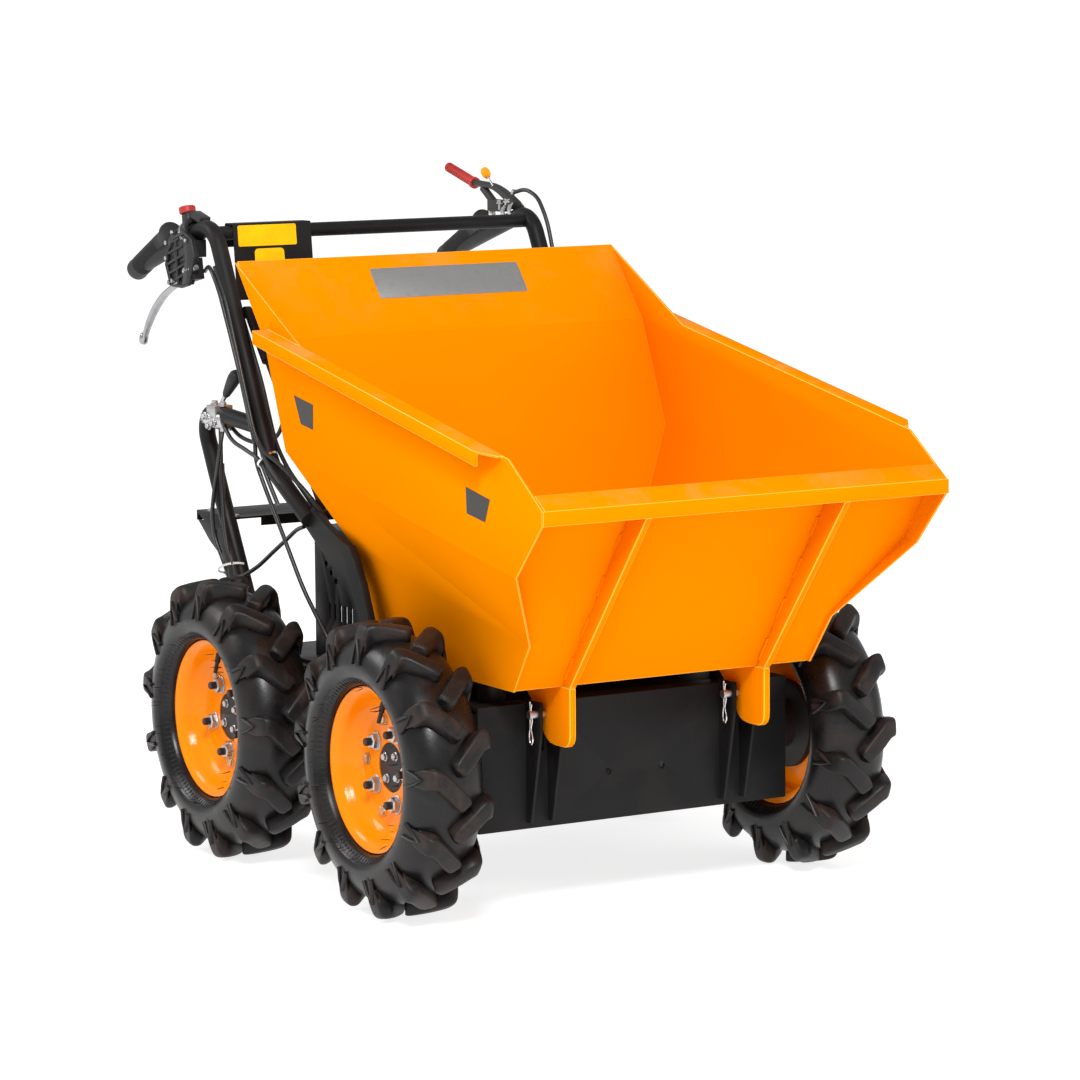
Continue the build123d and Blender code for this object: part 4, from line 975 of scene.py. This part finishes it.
# chassis and handle frame
frameTrim = {
    "plateEdge": 0.8, "guardEdge": 0.4, "armEdge": 1.2, "tubeEdge": 0.5, "tubeAngle": 40,
    "rearBolts": ((-455, -246, 477), (-372, -246, 477), (-455, 246, 477), (-372, 246, 477)),
    "armBolts": ((58, 262), (86, 262)), "armFace": 272,
    "weldFrom": (-108, 260.5, 509), "weldStep": (2.6, -1.1), "weldWave": 0.4, "weldSpots": 9, "weldRadius": 2,
    "gusset": ((-478, 466), (-371, 466), (-371, 452), (-352, 400), (-372, 402), (-440, 438)),
    "gussetAcross": 256, "gussetHalf": 1.6, "gussetEdge": 0.5,
    "loom": ((-372, -270, 462), (-356, -272, 444), (-338, -272, 420), (-330, -270, 396)),
    "loomBend": 14, "loomRadii": (8.6, 9.6),
    "cableRadius": 3.3, "cableBend": 24,
}
for nodeName in ("chassis_deck", "front_plate", "rear_plate", "chassis_beam_left", "chassis_beam_right"):
    dressed("body_" + nodeName, (nodeName,), frameTrim["plateEdge"])
dressed("body_belt_guard", ("belt_guard",), frameTrim["guardEdge"])
for nodeName in ("handle_arm_left", "handle_arm_right"):
    dressed("plate_" + nodeName, (nodeName,), frameTrim["armEdge"])
for nodeName in (
    "handle_tube_left", "handle_tube_right", "cross_tube", "stay_rod_left", "stay_rod_right",
    "rear_strut_left", "rear_strut_right", "axle_housing_front", "axle_housing_rear", "drive_shaft",
    "tray_buffers", "pivot_pins",
):
    dressed("round_" + nodeName, (nodeName,), frameTrim["tubeEdge"], angle=frameTrim["tubeAngle"])

form = bmesh.new()
for x, z in frameTrim["armBolts"]:
    for side in (-1, 1):
        hexBolt(form, (x, side * frameTrim["armFace"], z), (0, side, 0), 15.0, 7.0, 11.0)
for place in frameTrim["rearBolts"]:
    hexBolt(form, place, (0, 0, 1), 10.0, 5.0, 8.0)
makePiece("frameBolts", form, "zinc_steel")

# weld toes where the handle tubes meet the arms
form = bmesh.new()
(x, y, z), (stepX, stepZ) = frameTrim["weldFrom"], frameTrim["weldStep"]
for side in (-1, 1):
    for k in range(frameTrim["weldSpots"]):
        centre = Vector((x + k * stepX, side * (y + frameTrim["weldWave"] * (k % 2)), z + k * stepZ))
        spot = Matrix.Translation(centre)
        bmesh.ops.create_icosphere(form, subdivisions=2, radius=frameTrim["weldRadius"], matrix=spot)
makePiece("armWelds", form, "black_powder_coat", finishes["zinc_steel"], angle=80)

# finish, then place, direction, radius and width of each tie
ties = {
    "cableTies": (
        "springSteel", ((-208, -275, 583), (-0.62, -0.25, 0.75), 16.2, 3.4),
        ((-208, 275, 583), (-0.62, 0.25, 0.75), 16.2, 3.4),
    ),
    "strutTie": ("clearSleeve", ((-346, -266, 407), (-0.44, 0.1, 0.9), 21, 3.2)),
}
tieThick = 1.3
for name, (finishName, *rows) in ties.items():
    form = bmesh.new()
    for place, along, radius, width in rows:
        along = Vector(along).normalized()
        band(form, place, along, radius, radius + tieThick, width / 2, 28)
        away = along.cross(Vector((0, 1, 0))).normalized()
        head = flatFrame(Vector(place) + away * (radius + 1.5), along, away)
        block(form, head, (-3.2, 3.2), (-2.6, 2.6), (-0.8, 3.2))
    makePiece(name, form, "black_plastic", extras[finishName])

# side gussets under the rear plate and a ribbed loom beside the right strut
form = bmesh.new()
for side in (-1, 1):
    middle = side * frameTrim["gussetAcross"]
    sidePlate(form, frameTrim["gusset"], middle - frameTrim["gussetHalf"], middle + frameTrim["gussetHalf"])
makePiece("rearGussets", form, "black_powder_coat", bevel=frameTrim["gussetEdge"])
form = bmesh.new()
loom = rounded(frameTrim["loom"], frameTrim["loomBend"], 5)
sweep(form, loom, [frameTrim["loomRadii"][k % 2] for k in range(len(loom))], 16)
makePiece("cableLoom", form, "soft_rubber", angle=50)

# spare control lines tied along the right tube and splayed below the tie
strands = (
    ((-300, -286, 768), (-262, -288, 690), (-232, -287, 620), (-228, -285, 604)),
    ((-238, -285, 589), (-224, -286, 586), (-210, -284, 578), (-196, -282, 556), (-176, -276, 520)),
    (
        (-352, -284, 856), (-318, -284, 812), (-262, -287, 702), (-222, -289, 622), (-196, -286, 584),
        (-150, -279, 548), (-104, -270, 512), (-76, -262, 486),
    ),
    (
        (-318, -262, 800), (-262, -256, 694), (-216, -258, 606), (-180, -258, 572), (-128, -257, 540),
        (-84, -252, 506), (-58, -240, 470),
    ),
    ((-98, -262, 536), (-76, -258, 518), (-58, -250, 494), (-48, -240, 462)),
    ((-374, -268, 612), (-366, -272, 540), (-352, -276, 470), (-336, -276, 420), (-322, -268, 372)),
    ((-382, -262, 560), (-376, -264, 500), (-360, -274, 452), (-345, -278, 410), (-330, -270, 360)),
)
form = bmesh.new()
for line in strands:
    sweep(form, rounded(line, frameTrim["cableBend"], 5), frameTrim["cableRadius"], 10)
makePiece("spareCables", form, "cable_jacket", angle=50)
print("frame dressed")


# controls
controls = {
    "panelEdge": 0.8,
    "gripFoot": (-517, 0, 896), "gripTip": (-645, 0, 834), "gripAcross": 272,
    "gripRadius": 16.4, "gripWaist": 15.6, "gripRibs": 30, "gripRibStart": 24, "gripRibSpare": 44,
    "gripRibRing": (15.9, 0.9, 1.1),
    "redGrip": ((-549, 272, 954.5), (-633, 272, 977)), "redRadius": 7.6, "redRibs": 16,
    "redRibStart": 7, "redRibSpare": 11, "redRibRing": (7.1, 0.8, 1.25),
}
dressed("panel_console", ("console_plate",), controls["panelEdge"])
for sideName in ("left", "right", "gear"):
    dressed("round_cables_" + sideName, ("control_cables_" + sideName,), 0.0, angle=60)


def ribRow(name, start, step, count, ringShape, slot, steps):
    # small rings of a ring radius, thickness and width, set along a grip
    radius, thick, wide = ringShape
    form = bmesh.new()
    ring = [(radius + thick * math.cos(turn), wide * math.sin(turn)) for turn in turnsOf(6)]
    lathe(form, ring, (0, 0, 0), (0, 0, 1), steps, True)
    values = {
        "Copies": count, "First": tuple(start * mm), "Step": tuple(step * mm),
        "Turn": (0.0, math.atan2(step.x, step.z), 0.0),
    }
    repeated(name, form, rowTree, values, "root", slot, None, 60)


# ribbed rubber grips with a collar and a rounded end
foot, tip = Vector(controls["gripFoot"]), Vector(controls["gripTip"])
gripAlong = (tip - foot).normalized()
length = (tip - foot).length
for sideName, side, nodeNames in (("right", -1, ()), ("left", 1, ("hand_grips",))):
    base = foot + Vector((0, side * controls["gripAcross"], 0))
    radius, waist = controls["gripRadius"], controls["gripWaist"]
    profile = [
        (0, 0), (18.6, 0), (20.2, 1.0), (20.2, 5.0), (19.0, 6.4), (17.4, 7.2), (radius, 9.0), (radius, 30.0),
        (waist, 40.0), (waist, length - 30), (radius, length - 16), (radius + 0.6, length - 6),
        (radius, length - 1.5), (14.0, length), (0, length),
    ]
    form = bmesh.new()
    lathe(form, profile, base, gripAlong, 40)
    makePiece("grip_" + sideName, form, "soft_rubber", replaced=nodeNames, angle=40)
    step = gripAlong * ((length - controls["gripRibSpare"]) / controls["gripRibs"])
    first = base + gripAlong * controls["gripRibStart"]
    ribRow("gripRibs_" + sideName, first, step, controls["gripRibs"], controls["gripRibRing"], "soft_rubber", 32)

# right hand: ribbed perch on two collars
perch = {
    "low": -296, "high": -284, "webDepth": 5, "cheekDepth": 0.6, "wireDepth": 3, "rimWire": 3, "ribWire": 2.4,
    "outline": (
        (-470, 893), (-434, 903), (-410, 893), (-401, 868), (-420, 826), (-443, 822), (-480, 822), (-495, 852),
        (-489, 872),
    ),
    "ribs": (
        ((-486, 884), (-452, 893)), ((-491, 868), (-438, 884)), ((-493, 852), (-432, 872)), ((-489, 838), (-428, 858)),
        ((-482, 826), (-426, 844)), ((-463, 892), (-456, 824)),
    ),
    "cheek": ((-436, 900), (-412, 891), (-404, 868), (-422, 828), (-440, 824), (-428, 862)),
    "collars": (((-448, -272, 901), 20, 13), ((-486, -272, 886), 19, 9)),  # place, radius, half width
    "collarBore": 12.7,
    # place, direction, then the reach along it, across it and upwards
    "blocks": (
        ((-452, -280, 880), (1, 0, 0), (-34, 34), (-12, 16), (-14, 12)),
        ((-440, -281, 845), (1, 0, 0.2), (-26, 26), (-10, 10), (-16, 16)),
    ),
    "bolts": ((-487, 885, 6), (-488, 862, 6), (-466, 902, 5.2), (-420, 892, 5.2)),  # x, z, across flats
    "bands": (0, 4.2), "bandPlace": (-452, -272, 899),
    "nipple": (-436, -289, 846), "nippleAlong": (0.98, 0, 0.18), "threads": 9, "threadPitch": 3.2,
}


def collar(form, place, axis, inner, outer, half):
    # ring with its outer corners cut
    upper = [(outer, half - 2), (outer - 1, half), (inner, half)]
    lathe(form, [(r, -h) for r, h in reversed(upper)] + upper, place, axis, 32, True)


form = bmesh.new()
sidePlate(form, perch["outline"], perch["low"] + perch["webDepth"], perch["high"])
wireAcross = perch["low"] + perch["wireDepth"]
sweep(form, [(x, wireAcross, z) for x, z in perch["outline"]], perch["rimWire"], 8, True)
for ends in perch["ribs"]:
    sweep(form, [(x, wireAcross, z) for x, z in ends], perch["ribWire"], 8)
sidePlate(form, perch["cheek"], perch["low"] + perch["cheekDepth"], perch["high"])
for place, outer, half in perch["collars"]:
    collar(form, place, gripAlong, perch["collarBore"], outer, half)
for place, along, *reaches in perch["blocks"]:
    block(form, flatFrame(place, along, (0, 0, 1)), *reaches)
makePiece("leverPerch", form, "black_plastic", replaced=("lever_perch",), bevel=0.9)

form = bmesh.new()
for x, z, size in perch["bolts"]:
    hexBolt(form, (x, perch["low"] - 1.0, z), (0, -1, 0), size, 2.4)
for shift in perch["bands"]:
    band(form, Vector(perch["bandPlace"]) - gripAlong * shift, gripAlong, 20.4, 21.4, 1.0)
profile = [(0, -4), (5.5, -4)]
for k in range(perch["threads"]):
    radius, level = (6.6 if k % 2 else 5.4), perch["threadPitch"] * k - 3
    profile += [(radius, level), (radius, level + 1.8)]
profile += [(4.2, 27), (4.2, 34), (0, 34)]
lathe(form, profile, perch["nipple"], perch["nippleAlong"], 20)
makePiece("perchFittings", form, "zinc_steel")

stopKnob = {
    "place": (-463, -272, 930.5), "lean": (-0.28, 0, 0.96), "drop": 22, "blockDrop": 6,
    "cap": ((0, -1), (11.6, -1), (12.6, 0.4), (12.6, 7.8), (11.4, 9), (0, 9.4)),
    "neck": ((0, -16), (13.5, -16), (13.5, -2), (11, 0), (10, 12), (9.4, 21.2), (0, 21.2)),
    "edge": 1.2,
}
place, lean = Vector(stopKnob["place"]), Vector(stopKnob["lean"])
form = bmesh.new()
lathe(form, stopKnob["cap"], place, lean, 24)
makePiece("stopKnob", form, "red_plastic", angle=30)
form = bmesh.new()
foot = place - lean * stopKnob["drop"]
lathe(form, stopKnob["neck"], foot, lean, 20)
block(form, flatFrame(foot - lean * stopKnob["blockDrop"], (1, 0, 0.3), lean), (-15, 13), (-13, 11), (-13, 4))
block(form, flatFrame((-431, -268, 925), (1, 0, -0.25), (0, 0, 1)), (-17, 19), (-9, 9), (-5, 5))
makePiece("stopSwitchBody", form, "black_plastic", replaced=("stop_switch",), bevel=stopKnob["edge"])

alloyLever = {
    "across": -289, "flat": 0.55, "bend": 30, "width": 5, "belly": 2.2, "bellyStart": 0.15,
    "line": ((-455, 828), (-476, 821), (-514, 805), (-546, 782), (-570, 757), (-583, 738), (-588, 729)),
    "ball": ((0, -9), (4.5, -8.4), (6.6, -6), (7, 0), (6.6, 6), (4.5, 8.4), (0, 9)),
    "ballPlace": (-588, -289, 734), "ballAlong": (0.28, 0, 0.96),
    "pins": ((-482, 826), (-470, 829)), "pinRadius": 3.6, "pinHalf": 9,
}
form = bmesh.new()
blade = rounded([(x, alloyLever["across"], z) for x, z in alloyLever["line"]], alloyLever["bend"], 6)
shares = [min(1.0, alloyLever["bellyStart"] + k / len(blade)) for k in range(len(blade))]
widths = [alloyLever["width"] + alloyLever["belly"] * math.sin(math.pi * share) for share in shares]
sweep(form, blade, widths, 18, flat=alloyLever["flat"], lead=(0, 1, 0))
lathe(form, alloyLever["ball"], alloyLever["ballPlace"], alloyLever["ballAlong"], 20)
for x, z in alloyLever["pins"]:
    place = (x, alloyLever["across"], z)
    pin(form, place, (0, 1, 0), alloyLever["pinRadius"], -alloyLever["pinHalf"], alloyLever["pinHalf"], 14)
makePiece("alloyLever", form, "bare_alloy", replaced=("brake_lever",), angle=50)

# left hand: cast lever with a ribbed red grip, throttle knob, clamp and return spring
leftLever = {
    "across": 272,
    "casting": ((-418, 924), (-438, 934), (-466, 946), (-492, 952), (-520, 953), (-552, 955)),
    "castWidth": 6.6, "castBelly": 3.6, "castTaper": 1.6, "castFlat": 0.8,
    "brace": ((-522, 948), (-506, 938), (-488, 926), (-466, 918)), "braceWidth": 6.5, "braceFlat": 0.7,
    "clamps": ((-438, 912, 5), (-418, 916, 4)), "clampAlong": (1, 0, 0.2),  # x, z, half width
    "bolts": ((-458, 924, 0), (-440, 927, 0.3), (-427, 926, -0.3)), "boltAcross": 266,  # x, z, tilt
    "adjuster": ((0, 0), (4.6, 0), (4.6, 6), (3.8, 7), (3.8, 18), (0, 18)),
    "sleevePlace": (-494, 272, 898.5), "sleeveRidges": 12, "sleevePitch": 2.2,
}
form = bmesh.new()
across = leftLever["across"]
cast = rounded([(x, across, z) for x, z in leftLever["casting"]], 20, 5)
tapers = [max(0.0, 1.0 - leftLever["castTaper"] * k / len(cast)) for k in range(len(cast))]
widths = [leftLever["castWidth"] + leftLever["castBelly"] * taper for taper in tapers]
sweep(form, cast, widths, 16, flat=leftLever["castFlat"], lead=(0, 1, 0))
brace = rounded([(x, across, z) for x, z in leftLever["brace"]], 12, 5)
sweep(form, brace, leftLever["braceWidth"], 12, flat=leftLever["braceFlat"])
block(form, flatFrame((-470, 272, 922), (1, 0, 0), (0, 0, 1)), (-26, 18), (-8, 8), (-9, 9))
makePiece("leverCasting", form, "dark_casting", replaced=("clutch_bracket",), bevel=0.8, angle=50)

start, end = (Vector(point) for point in controls["redGrip"])
along = (end - start).normalized()
length = (end - start).length
radius = controls["redRadius"]
profile = [
    (0, -3), (radius + 1.6, -3), (radius + 1.8, 2), (radius - 0.6, 4), (radius - 0.6, length - 3),
    (radius - 2, length), (0, length + 0.6),
]
form = bmesh.new()
lathe(form, profile, start, along, 28)
makePiece("redGripCore", form, "red_plastic", replaced=("clutch_lever",), angle=40)
step = along * ((length - controls["redRibSpare"]) / (controls["redRibs"] - 1))
first = start + along * controls["redRibStart"]
ribRow("redGripRibs", first, step, controls["redRibs"], controls["redRibRing"], "red_plastic", 24)

throttle = {
    "stem": (-480, 266, 952), "bulb": (-504, 266, 973), "stemRadius": 1.7,
    "knob": ((0, -9.5), (4.6, -8.6), (6.8, -4), (7, 3), (5.6, 7.4), (3, 9.4), (0, 9.8)),
}
form = bmesh.new()
stem, bulb = Vector(throttle["stem"]), Vector(throttle["bulb"])
lean = (bulb - stem).normalized()
lathe(form, throttle["knob"], bulb - lean * 2, lean, 24)
makePiece("throttleKnob", form, "red_plastic", extras["orangePlastic"], replaced=("throttle_lever",), angle=60)
form = bmesh.new()
sweep(form, [stem, bulb - lean * 8], throttle["stemRadius"], 10)
for x, z, half in leftLever["clamps"]:
    band(form, (x, across, z), leftLever["clampAlong"], 12.8, 15.0, half)
for x, z, tilt in leftLever["bolts"]:
    pin(form, (x, leftLever["boltAcross"], z - 6), (tilt, 0, 1), 3.4, -2, 10, 12)
    hexBolt(form, (x + tilt * 8, leftLever["boltAcross"], z + 2), (tilt, 0, 1), 9.0, 4.0, 6.2)
lathe(form, leftLever["adjuster"], (-441, 274, 932), (0.55, 0.1, 0.83), 14)
makePiece("clampFittings", form, "zinc_steel")
form = bmesh.new()
profile = [(0, 0), (5.2, 0)]
for k in range(leftLever["sleeveRidges"]):
    level = leftLever["sleevePitch"] * k
    profile += [(5.9, level + 1.6), (5.0, level + 2.7)]
lathe(form, profile + [(5.2, 28.5), (0, 28.5)], leftLever["sleevePlace"], (0, 0, 1), 24)
makePiece("returnSpringSleeve", form, "zinc_steel", extras["clearSleeve"], angle=50)

# blank labels on the console
labels = {
    "sizes": (((-238, -141), (883, 914), 2.5), ((-212, -163), (842, 879), 6)),  # y, z, corner
    "foot": (-355, -180, 804), "lean": (-12, 0, 110), "reach": 4, "least": -10, "thick": 0.5,
}
lean = Vector(labels["lean"]).normalized()
face, climb, level = leaningFace("console_plate", labels["foot"], lean, labels["reach"], labels["least"])
_, footY, footZ = labels["foot"]
form = bmesh.new()
for sides, heights, corner in labels["sizes"]:
    rises = sorted(climb * (z - footZ) / lean.z for z in heights)
    outline = roundedRect(*(y - footY for y in sides), *rises, corner)
    slab(form, outline, face, level, level + labels["thick"])
makePiece("consoleLabels", form, "black_powder_coat", extras["yellowLabel"])
print("controls made")


# engine
engineEdges = {"engine_block": 0.8, "fan_cover": 1.0, "fuel_tank": 1.0, "silencer": 0.8, "air_filter": 1.0}
for nodeName, edge in engineEdges.items():
    dressed("unit_" + nodeName, (nodeName,), edge)

# gear change: a round body on the cross stub, a knurled end, a rod and a bullet knob
gear = {
    "end": (-395, -272, 629), "edge": 1.2,
    "body": (
        (0, -2), (13.6, -2), (15, 0), (15, 20), (16.4, 21), (16.4, 33), (14.6, 35), (14.6, 50), (13, 53), (0, 53),
    ),
    "rod": ((0, 0), (5.2, 0), (5.2, 5), (3.4, 7), (3.4, 45), (0, 45)), "rodFoot": (-376, -272, 638),
    "rodAlong": (0.72, 0, 0.69),
    "knurls": 18, "knurlRing": 12.4, "knurlMiddle": 6,
    "cap": ((0, 0), (12.4, 0), (12.4, 11), (9, 12.6), (9, 9.6), (5.4, 9.6), (5.4, 16), (0, 16)),
    "topBolts": ((-384, -272, 649), (-356, -272, 649)),
    "sideBolts": ((-386, -287, 632), (-358, -287, 624), (-372, -287, 619)),
    "cableEnds": ((-355, -263, 620), (-348, -277, 620), (-353, -274, 620)),
    "ferrule": ((0, -8), (4.4, -8), (4.4, 0), (5.6, 0), (5.6, 5), (3.6, 5), (3.6, 12), (0, 12)),
    "knobLine": ((-347, -272, 665), (-308, -272, 702)),
    "knobShares": (0, 0.08, 0.3, 0.55, 0.75, 0.88, 0.96, 1),
    "knobRadii": (4.6, 6.2, 7.8, 9.4, 10.2, 9.6, 7.4, 2.6),
}
form = bmesh.new()
lathe(form, gear["body"], gear["end"], (1, 0, 0), 32)
block(form, Matrix.Translation((-368, -272, 632)), (-14, 14), (-15, 15), (0, 17.5))
lathe(form, gear["rod"], gear["rodFoot"], gear["rodAlong"], 14)
makePiece("gearBody", form, "zinc_steel", replaced=("gear_bracket",), bevel=gear["edge"])

form = bmesh.new()
end = Vector(gear["end"])
for turn in turnsOf(gear["knurls"]):
    away = Vector((-gear["knurlMiddle"], math.cos(turn) * gear["knurlRing"], math.sin(turn) * gear["knurlRing"]))
    block(form, Matrix.Translation(end + away) @ Matrix.Rotation(-turn, 4, "X"), (-5.5, 5.5), (-1.4, 1.4), (-1.3, 1.3))
lathe(form, gear["cap"], end - Vector((0.5, 0, 0)), (-1, 0, 0), 28)
for place in gear["topBolts"]:
    hexBolt(form, place, (0, 0, 1), 9.0, 4.5, 6.8)
for place in gear["sideBolts"]:
    hexBolt(form, place, (0, -1, 0), 8.5, 4.5, 6.4)
for place in gear["cableEnds"]:
    lathe(form, gear["ferrule"], place, (0.1, 0, 1), 12)
makePiece("gearFittings", form, "zinc_steel", angle=30)

form = bmesh.new()
low, high = (Vector(point) for point in gear["knobLine"])
sweep(form, [low.lerp(high, share) for share in gear["knobShares"]], gear["knobRadii"], 24)
makePiece("gearKnob", form, "soft_rubber", replaced=("gear_lever",), angle=50)
print("engine dressed")
